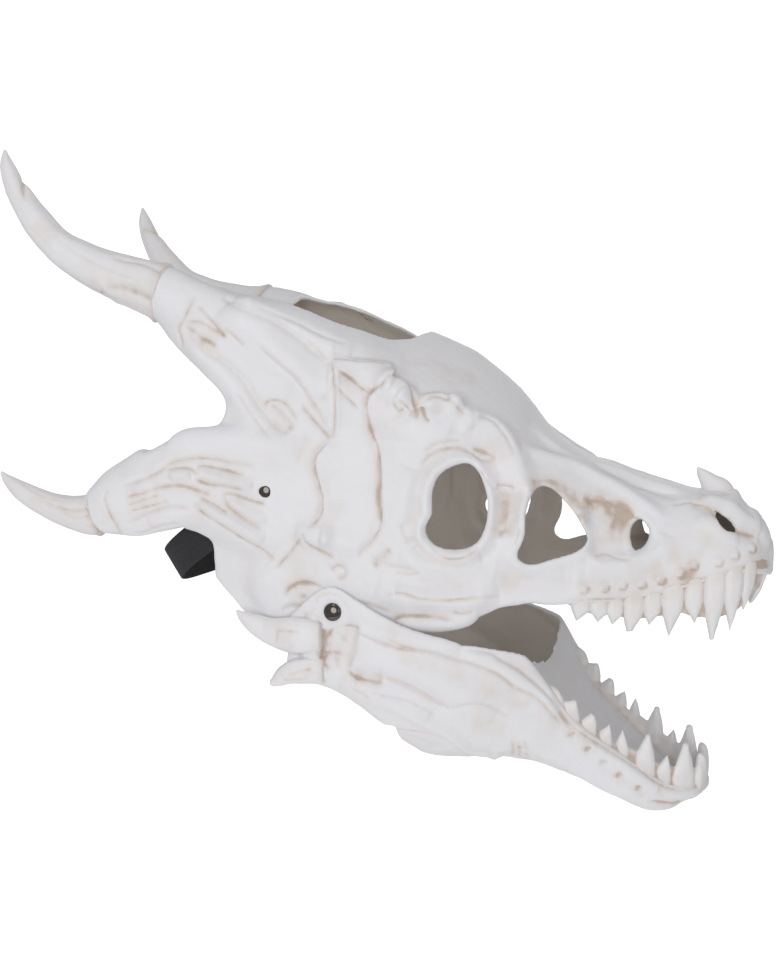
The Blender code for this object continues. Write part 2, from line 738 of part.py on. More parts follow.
upper = gum("upper_teeth", SKULL, 8, 9, 205, 329, 6.4, -0.6, 2.4, 330.5)
tooth_rows(upper, SKULL, 8, 9, UPPER_TEETH, UPPER_FRONT, 6.4, -0.6, True, 0.08)
boolean(upper, "DIFFERENCE", skull_grown)
settle(upper)
main_body(upper.data)
thin(upper.data)
smooth(upper.data, 50)

lower = gum("lower_teeth", JAW, 1, 2, 193, 288, 6.4, 0.9, 2.4, 289.0)
tooth_rows(lower, JAW, 1, 2, LOWER_TEETH, LOWER_FRONT, 6.4, 0.9, False, 0.12)
boolean(lower, "DIFFERENCE", jaw_grown)
settle(lower)
main_body(lower.data)
thin(lower.data)
smooth(lower.data, 50)

# ---------------------------------------------------------------- rivets


def rivet(name, x, z, face, inside, side):
    """A domed cap outside, a shank through the walls and a flat washer inside,
    turned about its own axis and laid along Y."""
    r, s, w = CAP_D / 2, SHANK_D / 2, 5.5
    out, inn = face + GAP, inside - GAP
    profile = [(0, out + CAP_H)]
    profile += [(r * math.sin(t), out + 0.5 + (CAP_H - 0.5) * math.cos(t))
                for t in np.linspace(0.35, math.pi / 2, 4)]
    profile += [(r, out), (s, out), (s, inn), (w, inn), (w, inn - 1.2), (0, inn - 1.2)]
    mesh = bpy.data.meshes.new(name)
    made = bmesh.new()
    verts = [made.verts.new(Vector((p[0], 0, p[1])) * MM) for p in profile]
    for a, b in zip(verts, verts[1:]):
        made.edges.new((a, b))
    made.to_mesh(mesh)
    made.free()
    obj = add(name, mesh, spec=NICKEL)
    turned = obj.modifiers.new("turn", "SCREW")
    turned.angle = 2 * math.pi
    turned.steps = turned.render_steps = 16
    turned.use_merge_vertices = True
    turned.merge_threshold = 0.00001
    settle(obj)
    bm = bmesh.new()
    bm.from_mesh(obj.data)
    bmesh.ops.remove_doubles(bm, verts=bm.verts, dist=0.00001)
    bmesh.ops.recalc_face_normals(bm, faces=bm.faces)
    bm.to_mesh(obj.data)
    bm.free()
    obj.data.transform(Matrix.Rotation(side * -math.pi / 2, 4, "X"))
    obj.data.transform(Matrix.Translation(Vector((x, 0, z)) * MM))
    smooth(obj.data)
    return obj


strap_y = TEMPLE_Y - 3.4 - GAP - STRAP_T / 2
for label, side in (("right", -1), ("left", 1)):
    rivet(f"pivot_rivet_{label}", *PIVOT, RAMUS_Y, CHEEK_Y - 3.0, side)
    rivet(f"strap_rivet_{label}", *STRAP_RIVET, TEMPLE_Y, strap_y - STRAP_T / 2, side)

# ---------------------------------------------------------------- strap

# One run of flat elastic: from the right rivet round the back of the head to
# the left one, in a plane that falls to the rear.
tilt = Matrix.Rotation(-STRAP_DROP, 3, "Y")
path = [(14.0, -strap_y), (0.0, -strap_y), (-16.0, -strap_y)]
for t in np.linspace(0.22, math.pi / 2, 13):
    path.append((-16.0 - (STRAP_REACH - 16.0) * math.sin(t) ** 0.9,
                 -strap_y * abs(math.cos(t)) ** 0.62))
path[-1] = (-STRAP_REACH, 0.0)
path += [(p[0], -p[1]) for p in reversed(path[:-1])]
made = bmesh.new()
columns = []
for k, (x, y) in enumerate(path):
    a, b = path[max(k - 1, 0)], path[min(k + 1, len(path) - 1)]
    along = Vector((b[0] - a[0], b[1] - a[1], 0)).normalized()
    across = Vector((-along.y, along.x, 0))
    ring = []
    for u, v in ((-1, -1), (1, -1), (1, 1), (-1, 1)):
        p = Vector((x, y, 0)) + across * (u * STRAP_T / 2) + Vector((0, 0, v * STRAP_W / 2))
        # Rotating the loop's plane down behind the rivets.
        ring.append(made.verts.new(tilt @ p * MM))
    columns.append(ring)
for ring, after in zip(columns, columns[1:]):
    for k in range(4):
        n = (k + 1) % 4
        made.faces.new((ring[k], ring[n], after[n], after[k]))
made.faces.new(columns[0][::-1])
made.faces.new(columns[-1])
bmesh.ops.recalc_face_normals(made, faces=made.faces)
mesh = bpy.data.meshes.new("strap")
made.to_mesh(mesh)
made.free()
strap = add("strap", mesh, spec=ELASTIC)
boolean(strap, "DIFFERENCE", strap_hole)
settle(strap)

# ---------------------------------------------------------------- hinge

hinge = bpy.data.objects.new("jaw_hinge", None)
hinge.location = Vector((PIVOT[0], 0, PIVOT[1])) * MM
MASK.objects.link(hinge)
bpy.context.view_layer.update()
for name in ("jaw_shell", "lower_teeth", "jaw_spur_upper_right", "jaw_spur_upper_left",
             "jaw_spur_lower_right", "jaw_spur_lower_left"):
    piece = bpy.data.objects[name]
    piece.parent = hinge
    piece.matrix_parent_inverse = hinge.matrix_world.inverted()
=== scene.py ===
import math

import bmesh
import bpy
import numpy as np
import openvdb as vdb
from mathutils import Matrix, Vector
from mathutils.bvhtree import BVHTree


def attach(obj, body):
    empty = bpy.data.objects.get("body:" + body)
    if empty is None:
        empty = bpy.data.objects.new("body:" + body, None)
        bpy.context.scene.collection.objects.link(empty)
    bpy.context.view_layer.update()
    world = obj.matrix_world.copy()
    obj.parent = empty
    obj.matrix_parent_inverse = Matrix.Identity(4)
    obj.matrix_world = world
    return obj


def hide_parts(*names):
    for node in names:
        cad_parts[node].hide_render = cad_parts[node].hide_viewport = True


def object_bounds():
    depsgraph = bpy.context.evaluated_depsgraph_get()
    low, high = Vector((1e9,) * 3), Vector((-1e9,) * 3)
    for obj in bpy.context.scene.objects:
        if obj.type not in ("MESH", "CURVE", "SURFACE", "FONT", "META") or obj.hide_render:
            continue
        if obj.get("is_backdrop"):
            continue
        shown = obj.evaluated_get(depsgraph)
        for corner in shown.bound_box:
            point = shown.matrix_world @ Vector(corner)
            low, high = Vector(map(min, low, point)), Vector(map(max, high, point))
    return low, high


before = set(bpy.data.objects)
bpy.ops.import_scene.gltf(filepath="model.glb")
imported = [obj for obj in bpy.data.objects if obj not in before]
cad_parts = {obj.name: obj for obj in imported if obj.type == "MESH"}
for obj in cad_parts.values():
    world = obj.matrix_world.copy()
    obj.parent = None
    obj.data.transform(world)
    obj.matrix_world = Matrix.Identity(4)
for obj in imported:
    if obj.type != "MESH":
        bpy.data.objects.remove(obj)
first_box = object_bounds()

MM = 0.001
FINE = 1.3  # grid of the skull and the jaw, mm
PIVOT = (50.1, -81.4)
CAP_D, CAP_H = 12.5, 3.4
CHEEK_Y, RAMUS_Y, TEMPLE_Y = 104.6, 109.6, 107.0
STRAP_W, STRAP_T = 25.4, 1.5
STRAP_DROP = math.radians(33.0)
STRAP_REACH = 120.0

# ------------------------------------------------------------ tables, mm

# Skull half sections: x, ridge height, then half-width and height at the
# brow, the widest point, the cheek and the lower edge.
SKULL = [
    (-42, 152, 80, 144, 100, 80, 104, 5, 101, -60),
    (-15, 146, 80, 137, 100, 75, 105, 2, 102, -88),
    (0, 142, 80, 132, 100, 70, 105, 0, 102.5, -96),
    (30, 133, 79, 121, 100, 62, 105, -8, 104, -101),
    (60, 123, 78, 104, 98, 50, 104, -18, 104, -101),
    (88, 115, 79, 76, 95, 38, 101, -28, 100, -88),
    (105, 108, 80, 68, 93, 30, 98, -34, 97, -90),
    (122, 100, 77, 61, 90, 22, 94, -38, 93, -90),
    (140, 87, 73, 53, 86, 14, 90, -40, 88, -85),
    (160, 69, 64, 41, 80, 4, 84, -41, 81, -76),
    (178, 45, 55, 29, 74, -4, 79, -42, 76, -71),
    (195, 31, 49, 20, 68, -10, 73, -44, 72, -73),
    (215, 21, 42, 12, 60, -16, 66, -46, 66, -72),
    (240, 11.5, 34, 4, 50, -19, 57, -46, 58, -71.5),
    (265, 4.5, 28, -3, 43, -20, 50, -44, 52, -67),
    (290, 0, 26, -6, 39, -19, 46, -40, 48, -59),
    (310, -1.5, 22, -7, 34, -18, 41, -35, 43, -52.5),
    (325, -16, 14, -19, 24, -28, 31, -38, 33, -50),
    (333, -27, 8, -29, 14, -34, 18, -41, 19, -52),
    (338, -36, 3, -36.5, 5, -40, 6, -46, 5, -54),
]
# Jaw half sections: top edge, flank, lower ridge, bottom on the mid-plane.
JAW = [
    (16, 109.6, -88, 109.6, -108, 107, -130, -137),
    (35, 109.6, -70, 109.6, -100, 107, -132, -139),
    (50, 109.6, -64, 109.6, -102, 106, -136, -146),
    (66, 109.6, -72, 109.6, -108, 104, -145, -160),
    (82, 109.6, -81, 109.0, -116, 101, -157, -178),
    (100, 108, -90, 106, -126, 94, -168, -194),
    (125, 103, -99, 101, -134, 88, -172, -196),
    (150, 94.5, -104, 93, -137, 80, -173, -195),
    (168, 86, -107, 86, -141, 74, -175, -196),
    (178, 80, -111, 81, -145, 70, -178, -198),
    (190, 73, -128, 75, -152, 65, -182, -202),
    (208, 64, -155, 66, -171, 56, -192, -209),
    (232, 53, -176, 55, -190, 46, -208, -221),
    (255, 44, -194, 46, -205, 37, -220, -231),
    (272, 36, -204, 37, -212, 29, -223, -230),
    (285, 27, -208, 27, -213, 20, -219, -222),
    (292, 19, -208, 19, -212, 14, -216, -218),
    (297.5, 5, -206, 5.5, -209, 4, -213, -215),
]
# Horns: x, y, z of the axis, half-height in the side view, half-thickness.
UPPER_CORE = [
    (34, -70, 92, 18, 8), (4, -83, 96, 35, 15), (-30, -89, 103, 37, 18),
    (-57, -92, 124, 27, 18.5), (-74, -94, 136, 21.2, 17.5), (-82, -94.5, 139.5, 19.8, 17),
]
UPPER_HORN = [
    (-82, -94.5, 139.5, 21.6, 18.6), (-94, -95.5, 143, 18.8, 17), (-123.5, -98, 153, 15.8, 14.8),
    (-145, -100, 163, 13.8, 13), (-162, -102, 174.5, 12, 11.5), (-178.5, -103, 193, 10.6, 10),
    (-192, -104, 214, 8.2, 8), (-198.5, -105, 230, 5.5, 5.4), (-200.5, -105, 241, 1.6, 1.6),
]
CHEEK_CORE = [
    (34, -92, -8, 24, 8), (6, -97.5, -2, 37, 9), (-22, -104, 2, 38, 12.5),
    (-45, -109, 6.5, 36.5, 15), (-62, -111, 7, 34, 16), (-76, -112, 2, 31, 17),
    (-91, -114, -4.5, 28.5, 17), (-105, -116, -9.5, 25.5, 16), (-117, -117.5, -14.5, 19.5, 14.5),
    (-124, -118, -17.6, 15.6, 13),
]
CHEEK_HORN = [
    (-124, -118, -17.6, 16.8, 14.4), (-132, -118.5, -18.8, 14.2, 13), (-144, -119, -17.5, 11.9, 11.5),
    (-157, -119.5, -14.5, 10, 10), (-170, -120, -9.5, 8.5, 8.5), (-183, -120.5, -3, 6.8, 6.8),
    (-193, -121, 4, 4.2, 4.2), (-198.5, -121, 9.5, 1.4, 1.4),
]
NOSE_HORN = [
    (301, 0, -8, 13, 9), (297.5, 0, 0, 11, 7.5), (293, 0, 6, 6.5, 5.2),
    (288.5, 0, 11, 3.6, 3.2), (286, 0, 14.3, 1.3, 1.3),
]
UPPER_SPUR = [
    (40, -112, -98.5, 11, 5), (22, -113.8, -98.5, 12.5, 6.8), (6, -113.4, -96.5, 9.5, 6.3),
    (-6, -113.6, -92, 7, 5.6), (-13, -115, -87.5, 4, 3.7), (-17, -116, -83.5, 1.2, 1.2),
]
LOWER_SPUR = [
    (42, -111.5, -123, 8.5, 5), (26, -112.6, -123.5, 9, 6), (17, -112.6, -126.5, 7, 5.6),
    (12, -113, -129.8, 5.2, 5.0), (8.6, -114, -132, 3.0, 3.0),
]
# Openings in the side view: x, z round each.
EYE = [(133, 19.5), (121, 13), (116, 0), (116, -14), (112, -25), (119, -35),
       (134, -37.5), (147, -31), (152, -12), (149, 6), (142, 18)]
FENESTRA = [(183, 3), (191, 3), (199, -4), (209, -16), (216, -31), (210, -39),
            (195, -44), (180, -48), (172, -42), (177, -28), (178, -10)]
PREORBITAL = [(250, -19), (256, -26), (254, -35), (247, -39), (244, -31), (245, -23)]
NOSTRIL = [(299, -13), (307, -18), (313, -26), (307, -25), (302, -20)]
REAR = [(-29, 175), (-31, 60), (-33, 44), (-24, 30), (-18, 0), (-12, -40), (6, -50),
        (2, -58), (-6, -68), (-11, -79), (-12, -92), (0, -112), (0, -130),
        (-90, -130), (-90, 175)]
CROWN = [(91, 0), (89, 13), (82, 33), (69, 51), (50, 65), (28, 73), (0, 77), (-25, 78.5),
         (-130, 80)]

# ------------------------------------------------------------ camera

EYE_AT = np.array((326.599, -908.394, 69.667))
YAW, PITCH = math.radians(16.4415), math.radians(4.4600)
AHEAD = np.array((-math.sin(YAW) * math.cos(PITCH), math.cos(YAW) * math.cos(PITCH), -math.sin(PITCH)))
ACROSS = np.array((math.cos(YAW), math.sin(YAW), 0.0))
UPWARD = np.array((-math.sin(PITCH) * math.sin(YAW), math.sin(PITCH) * math.cos(YAW), math.cos(PITCH)))
FOCAL = 1250.0


def ray(px, py):
    d = AHEAD * FOCAL + ACROSS * (px - 390.0) + UPWARD * (487.5 - py)
    return d / np.linalg.norm(d)


# ------------------------------------------------------------ curves


def hermite(table, column, x):
    """A column of a table at x (a number or an array), on a smooth curve."""
    xs = np.array([row[0] for row in table], float)
    ys = np.array([row[column] for row in table], float)
    n = len(xs)
    slope = np.array([(ys[min(i + 1, n - 1)] - ys[max(i - 1, 0)])
                      / (xs[min(i + 1, n - 1)] - xs[max(i - 1, 0)]) for i in range(n)])
    x = np.asarray(x, float)
    k = np.clip(np.searchsorted(xs, x) - 1, 0, n - 2)
    h = xs[k + 1] - xs[k]
    t = np.clip((x - xs[k]) / h, 0, 1)
    return ((2 * t**3 - 3 * t**2 + 1) * ys[k] + (t**3 - 2 * t**2 + t) * h * slope[k]
            + (-2 * t**3 + 3 * t**2) * ys[k + 1] + (t**3 - t**2) * h * slope[k + 1])


def through(points, per_span, closed=False):
    """Points on a Catmull-Rom curve through the given ones."""
    pts = [np.array(p, float) for p in points]
    count = len(pts)

    def at(i):
        return pts[i % count] if closed else pts[min(max(i, 0), count - 1)]

    out = []
    for i in range(count if closed else count - 1):
        a, b, c, d = at(i - 1), at(i), at(i + 1), at(i + 2)
        for s in range(per_span):
            t = s / per_span
            out.append(0.5 * (2 * b + (c - a) * t + (2 * a - 5 * b + 4 * c - d) * t**2
                              + (3 * b - a - 3 * c + d) * t**3))
    if not closed:
        out.append(pts[-1])
    return np.array(out)


def skull_half(x, per=10):
    v = [float(hermite(SKULL, c, x)) for c in range(1, 10)]
    v[8] -= 2.4 + 3.6 * min(max((x - 312) / 12, 0), 1)  # smoothing takes this much off the lip
    knots = [(0, v[0]), (v[1], v[2]), (v[3], v[4]), (v[5], v[6]), (v[7], v[8])]
    half = through([(-0.8 * v[1], v[2])] + knots, per)[per:]
    return np.array([(x, -max(p[0], 0.0), p[1]) for p in half])


def jaw_half(x, per=8):
    v = [float(hermite(JAW, c, x)) for c in range(1, 8)]
    knots = [(v[0], v[1]), (v[2], v[3]), (v[4], v[5]), (0.5 * v[4], v[6] + 1.5), (0, v[6])]
    half = through(knots, per)
    return np.array([(x, -max(p[0], 0.0), p[1]) for p in half])


# ------------------------------------------------------------ closed surfaces


def loft(rings):
    """Closed solid through rings of the same count: points and triangles."""
    rings = [np.asarray(r, float) for r in rings]
    n = len(rings[0])
    points = np.concatenate(rings + [rings[0].mean(0)[None], rings[-1].mean(0)[None]])
    tris = []
    for i in range(len(rings) - 1):
        a, b = i * n, (i + 1) * n
        for j in range(n):
            k = (j + 1) % n
            tris += [(a + j, b + j, b + k), (a + j, b + k, a + k)]
    first, last = len(points) - 2, len(points) - 1
    base = (len(rings) - 1) * n
    for j in range(n):
        k = (j + 1) % n
        tris += [(first, j, k), (last, base + k, base + j)]
    return points, np.array(tris)


def whole_ring(half):
    """A half section (y at or below 0) and its mirror image as one ring."""
    other = half[::-1] * np.array([1, -1, 1])
    ring = np.concatenate([half, other])
    keep = [0]
    for i in range(1, len(ring)):
        if np.linalg.norm(ring[i] - ring[keep[-1]]) > 1e-6:
            keep.append(i)
    return ring


def tube_rings(table, sides=40, per_span=6):
    rows = through(table, per_span)
    rings = []
    for k, row in enumerate(rows):
        along = rows[min(k + 1, len(rows) - 1)][:3] - rows[max(k - 1, 0)][:3]
        along /= np.linalg.norm(along)
        across = np.array([0.0, 1.0, 0.0])
        across -= along * across.dot(along)
        across /= np.linalg.norm(across)
        up = np.cross(along, across)
        turn = np.linspace(0, 2 * math.pi, sides, endpoint=False)
        rings.append(row[:3] + np.cos(turn)[:, None] * across * row[4]
                     + np.sin(turn)[:, None] * up * row[3])
    return rings


# ------------------------------------------------------------ fields


class Room:
    """A grid of the right half: its last plane in y is the mirror plane."""

    def __init__(self, low, high, step):
        self.h = step
        self.start = [int(math.floor(a / step)) for a in low]
        stop = [int(math.ceil(b / step)) for b in high]
        stop[1] = 0
        self.n = [b - a + 1 for a, b in zip(self.start, stop)]
        self.x = ((np.arange(self.n[0]) + self.start[0]) * step).astype(np.float32)[:, None, None]
        self.y = ((np.arange(self.n[1]) + self.start[1]) * step).astype(np.float32)[None, :, None]
        self.z = ((np.arange(self.n[2]) + self.start[2]) * step).astype(np.float32)[None, None, :]

    def field(self, points, tris, band=9.0):
        grid = vdb.FloatGrid.createLevelSetFromPolygons(
            np.ascontiguousarray(points, dtype=np.float32),
            triangles=np.ascontiguousarray(tris, dtype=np.uint32),
            transform=vdb.createLinearTransform(voxelSize=self.h), halfWidth=band)
        out = np.full(self.n, band * self.h, np.float32)
        grid.copyToArray(out, ijk=tuple(self.start))
        return out

    def sample(self, field, points):
        """The field at points of either side."""
        q = points.copy()
        q[:, 1] = -np.abs(q[:, 1])
        q = q / self.h - np.array(self.start)
        i = np.floor(q).astype(int)
        for c in range(3):
            i[:, c] = np.clip(i[:, c], 0, self.n[c] - 2)
        f = np.clip(q - i, 0, 1).astype(np.float32)
        out = np.zeros(len(points), np.float32)
        for a in (0, 1):
            for b in (0, 1):
                for c in (0, 1):
                    w = (f[:, 0] if a else 1 - f[:, 0]) * (f[:, 1] if b else 1 - f[:, 1]) \
                        * (f[:, 2] if c else 1 - f[:, 2])
                    out += w * field[i[:, 0] + a, i[:, 1] + b, i[:, 2] + c]
        return out

    def surface(self, field, every=1):
        """Points and quads of the zero surface, both halves."""
        half = field[::every, ::-1, ::every][:, ::every][:, ::-1] if every > 1 else field
        whole = np.concatenate([half, half[:, -2::-1]], axis=1)
        whole = np.clip(whole, -4 * self.h * every, 4 * self.h * every)
        grid = vdb.FloatGrid(4 * self.h * every)
        start = (self.start[0] // every if every == 1 else 0,
                 -(half.shape[1] - 1), self.start[2] // every if every == 1 else 0)
        grid.copyFromArray(np.ascontiguousarray(whole), ijk=start)
        points, quads = grid.convertToQuads(0.0)
        points = points.astype(np.float64) * self.h * every
        if every > 1:
            points[:, 0] += self.start[0] * self.h
            points[:, 2] += self.start[2] * self.h
        quads = quads.astype(np.int64)
        a, b, c = (points[quads[:, k]] for k in range(3))
        if np.einsum("ij,ij->i", a, np.cross(b, c)).sum() < 0:
            quads = quads[:, ::-1]
        return points, quads


def blur(f, times=1):
    for _ in range(times):
        g = f.copy()
        g[1:-1] = (f[:-2] + 2 * f[1:-1] + f[2:]) * 0.25
        f = g.copy()
        f[:, 1:-1] = (g[:, :-2] + 2 * g[:, 1:-1] + g[:, 2:]) * 0.25
        f[:, -1] = (g[:, -2] + g[:, -1]) * 0.5
        g = f.copy()
        g[:, :, 1:-1] = (f[:, :, :-2] + 2 * f[:, :, 1:-1] + f[:, :, 2:]) * 0.25
        f = g
    return f


def join(a, b, k):
    """Smooth union."""
    h = np.clip(0.5 + 0.5 * (b - a) / k, 0, 1)
    return b * (1 - h) + a * h - k * h * (1 - h)


def meet(a, b, k):
    """Smooth intersection."""
    return -join(-a, -b, k)


def outline_distance(outline, x, z):
    """Distance to a closed outline, below 0 inside it. x and z of one shape."""
    pts = np.asarray(outline, float)
    best = np.full(x.shape, 1e9)
    inside = np.zeros(x.shape, bool)
    for (ax, az), (bx, bz) in zip(pts, np.roll(pts, -1, axis=0)):
        ex, ez = bx - ax, bz - az
        t = np.clip(((x - ax) * ex + (z - az) * ez) / max(ex * ex + ez * ez, 1e-9), 0, 1)
        best = np.minimum(best, (x - ax - t * ex) ** 2 + (z - az - t * ez) ** 2)
        if az != bz:
            cross = (az > z) != (bz > z)
            inside ^= cross & (x < (bx - ax) * (z - az) / (bz - az) + ax)
    best = np.sqrt(best)
    return np.where(inside, -best, best)


def plan_field(room, outline, axes="xz"):
    if axes == "xz":
        gx, gz = np.meshgrid(room.x.ravel(), room.z.ravel(), indexing="ij")
        return outline_distance(outline, gx, gz).astype(np.float32)[:, None, :]
    gx, gy = np.meshgrid(room.x.ravel(), room.y.ravel(), indexing="ij")
    return outline_distance(outline, gx, gy).astype(np.float32)[:, :, None]


LATTICES = {}


def noise(points, size, seed=0):
    """Smooth value noise from -1 to 1."""
    if seed not in LATTICES:
        LATTICES[seed] = np.random.default_rng(seed).random((32, 32, 32), dtype=np.float32) * 2 - 1
    grid = LATTICES[seed]
    q = points / size + 100.0
    i = np.floor(q).astype(int)
    f = q - i
    f = f * f * (3 - 2 * f)
    out = np.zeros(len(points))
    for a in (0, 1):
        for b in (0, 1):
            for c in (0, 1):
                w = (f[:, 0] if a else 1 - f[:, 0]) * (f[:, 1] if b else 1 - f[:, 1]) \
                    * (f[:, 2] if c else 1 - f[:, 2])
                out += w * grid[(i[:, 0] + a) % 32, (i[:, 1] + b) % 32, (i[:, 2] + c) % 32]
    return out


def normals_of(points, quads):
    n = np.zeros_like(points)
    a, b, c, d = (points[quads[:, k]] for k in range(4))
    f = np.cross(c - a, d - b)
    for k in range(4):
        for axis in range(3):
            n[:, axis] += np.bincount(quads[:, k], f[:, axis], minlength=len(points))
    return n / np.maximum(np.linalg.norm(n, axis=1), 1e-9)[:, None]


# ------------------------------------------------------------ carving


class Seen:
    """Turns places traced in the picture plane into points on a surface."""

    def __init__(self, points, quads):
        self.tree = BVHTree.FromPolygons([tuple(p) for p in points], [tuple(q) for q in quads])

    def at(self, px, py):
        d = ray(px, py)
        hit = self.tree.ray_cast(Vector(EYE_AT), Vector(d))
        if hit[0] is not None:
            return np.array(hit[0])
        near = self.tree.find_nearest(Vector(EYE_AT + d * ((-75 - EYE_AT[1]) / d[1])))
        return np.array(near[0])

    def line(self, pixels, step=2.0):
        rough = np.array([self.at(*p) for p in pixels])
        if len(rough) == 1:
            return rough
        if len(rough) == 2:
            rough = np.array([rough[0], (rough[0] + rough[1]) / 2, rough[1]])
            rough[1] = self.at((pixels[0][0] + pixels[1][0]) / 2, (pixels[0][1] + pixels[1][1]) / 2)
        fine = through(pixels, max(2, int(np.linalg.norm(np.ptp(rough, axis=0)) / step / len(pixels)) + 1))
        return np.array([self.at(*p) for p in fine])


def near_line(points, line):
    """Distance to a line, place along it from 0 to 1, and side in the picture."""
    if len(line) == 1:
        d = points - line[0]
        return np.linalg.norm(d, axis=1), np.zeros(len(points)), d @ ACROSS
    lengths = np.linalg.norm(np.diff(line, axis=0), axis=1)
    total = np.concatenate([[0], np.cumsum(lengths)])
    best = np.full(len(points), 1e9)
    place = np.zeros(len(points))
    side = np.zeros(len(points))
    for k in range(len(line) - 1):
        a, e = line[k], line[k + 1] - line[k]
        t = np.clip(((points - a) @ e) / max(e @ e, 1e-9), 0, 1)
        off = points - a - t[:, None] * e
        d = np.einsum("ij,ij->i", off, off)
        better = d < best
        best[better] = d[better]
        place[better] = (total[k] + t[better] * lengths[k]) / max(total[-1], 1e-9)
        eu, ev = e @ ACROSS, e @ UPWARD
        side[better] = (eu * (off[better] @ UPWARD) - ev * (off[better] @ ACROSS)) \
            / max(math.hypot(eu, ev), 1e-9)
    return np.sqrt(best), place, side


def carve(points, normals, weight, seen, features, amount=1.0):
    """Raises and cuts the surface along traced features. Returns how far each
    point moves along its normal, and the wash that gathers there."""
    right = points * np.array([1, 1, 1.0])
    right[:, 1] = -np.abs(right[:, 1])
    move = np.zeros(len(points))
    stain = np.zeros(len(points))
    for kind, width, height, wash, wash_width, pixels in features:
        line = seen.line(pixels)
        reach = max((7.5 if kind == "step" else 3.2) * width, 5.2 * wash_width if wash else 0)
        low, high = line.min(0) - reach, line.max(0) + reach
        pick = np.nonzero(((right > low) & (right < high)).all(1) & (weight > 0.01))[0]
        if not len(pick):
            continue
        if kind == "patch":
            ring = line[:, [0, 2]]
            d = outline_distance(ring, right[pick, 0], right[pick, 2])
            t = np.clip(0.5 - d / (2 * width), 0, 1)
            t = t * t * (3 - 2 * t)
            s = np.clip(0.5 - d / (2 * wash_width), 0, 1)
            move[pick] += height * t
            stain[pick] += wash * s * s * (3 - 2 * s)
            continue
        d, place, side = near_line(right[pick], line)
        fade = 1.0 if len(line) == 1 else np.clip(np.minimum(place, 1 - place) / 0.14, 0, 1)
        if kind in ("groove", "ridge"):
            fade = fade ** 0.6 if not np.isscalar(fade) else fade
        else:
            fade = 1.0 if kind == "knob" else fade ** 0.5
        if kind == "step":
            soft = np.clip(side / width + 0.5, 0, 1)
            soft = soft * soft * (3 - 2 * soft)
            move[pick] += fade * height * soft * np.exp(-(d / (3 * width)) ** 2)
            move[pick] -= fade * 0.35 * height * (1 - soft) * np.exp(-(d / (1.6 * width)) ** 2)
        elif kind == "groove":
            move[pick] += fade * height * np.exp(-np.abs(d / width) ** 1.5)
        elif kind == "knob":
            move[pick] += height * np.exp(-(d / width) ** 4 * 0.9)
        else:
            move[pick] += fade * height * np.exp(-(d / width) ** 2)
        if wash:
            if kind == "wash":
                stain[pick] += fade * wash * 0.62 * np.exp(-(d / (1.3 * wash_width)) ** 2)
            else:
                stain[pick] += fade * wash * (0.42 * np.exp(-(d / (0.5 * wash_width)) ** 2)
                                              + 0.27 * np.exp(-(d / (2.2 * wash_width)) ** 2))
    return move * weight * amount, stain * weight


def shape_field(room, field, forms, flat_to, free_from):
    """Raises and cuts a solid's field along traced forms, so that both faces
    of the wall follow. The faces round the hinge stay flat."""
    slopes = np.gradient(field, room.h)
    cells = np.nonzero(np.abs(field) < 9.5)
    f = field[cells].astype(np.float64)
    g = np.stack([a[cells] for a in slopes], axis=1).astype(np.float64)
    g /= np.maximum(np.linalg.norm(g, axis=1), 1e-6)[:, None]
    place = np.stack([room.x.ravel()[cells[0]], room.y.ravel()[cells[1]], room.z.ravel()[cells[2]]], axis=1)
    foot = place - g * f[:, None]
    foot[:, 1] = np.minimum(foot[:, 1], 0.0)
    hinge = np.hypot(place[:, 0] - PIVOT[0], place[:, 2] - PIVOT[1])
    weight = np.clip((9.5 - np.abs(f)) / 3.0, 0, 1) \
        * np.clip((hinge - flat_to) / (free_from - flat_to), 0, 1)
    seen = Seen(*room.surface(field, every=2))
    move, _ = carve(foot, g, weight, seen, forms)
    out = field.copy()
    out[cells] = (f - move).astype(np.float32)
    return out


# ------------------------------------------------------------ output


def put(name, points, quads, spec, body, nodes, attributes=None, normals=None):
    """A mesh object from points in mm, riding on a body and standing for nodes."""
    mesh = bpy.data.meshes.new(name)
    quads = np.asarray(quads)
    mesh.vertices.add(len(points))
    mesh.vertices.foreach_set("co", (np.asarray(points) * MM).astype(np.float32).ravel())
    width = quads.shape[1]
    mesh.loops.add(quads.size)
    mesh.loops.foreach_set("vertex_index", quads.astype(np.int32).ravel())
    mesh.polygons.add(len(quads))
    mesh.polygons.foreach_set("loop_start", (np.arange(len(quads)) * width).astype(np.int32))
    mesh.update(calc_edges=True)
    mesh.validate()
    mesh.shade_smooth()
    for key, values in (attributes or {}).items():
        layer = mesh.attributes.new(key, "FLOAT", "POINT")
        layer.data.foreach_set("value", np.asarray(values, np.float32))
    if normals is not None:
        mesh.normals_split_custom_set_from_vertices(np.asarray(normals, np.float32))
    mesh.materials.append(spec)
    obj = bpy.data.objects.new(name, mesh)
    bpy.context.scene.collection.objects.link(obj)
    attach(obj, body)
    if nodes:
        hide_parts(*nodes)
    return obj


def part_of(points, quads, pick, *values):
    """The faces picked, with only the points they use."""
    faces = quads[pick]
    used, index = np.unique(faces, return_inverse=True)
    return points[used], index.reshape(faces.shape), [v[used] for v in values]


# ------------------------------------------------------------ finishes


def tree_of(name):
    made = bpy.data.materials.new(name)
    made.use_nodes = True
    tree = made.node_tree
    tree.nodes.clear()
    out = tree.nodes.new("ShaderNodeOutputMaterial")
    shader = tree.nodes.new("ShaderNodeBsdfPrincipled")
    tree.links.new(shader.outputs[0], out.inputs["Surface"])
    return made, tree, shader


def link(tree, a, b):
    tree.links.new(a, b)


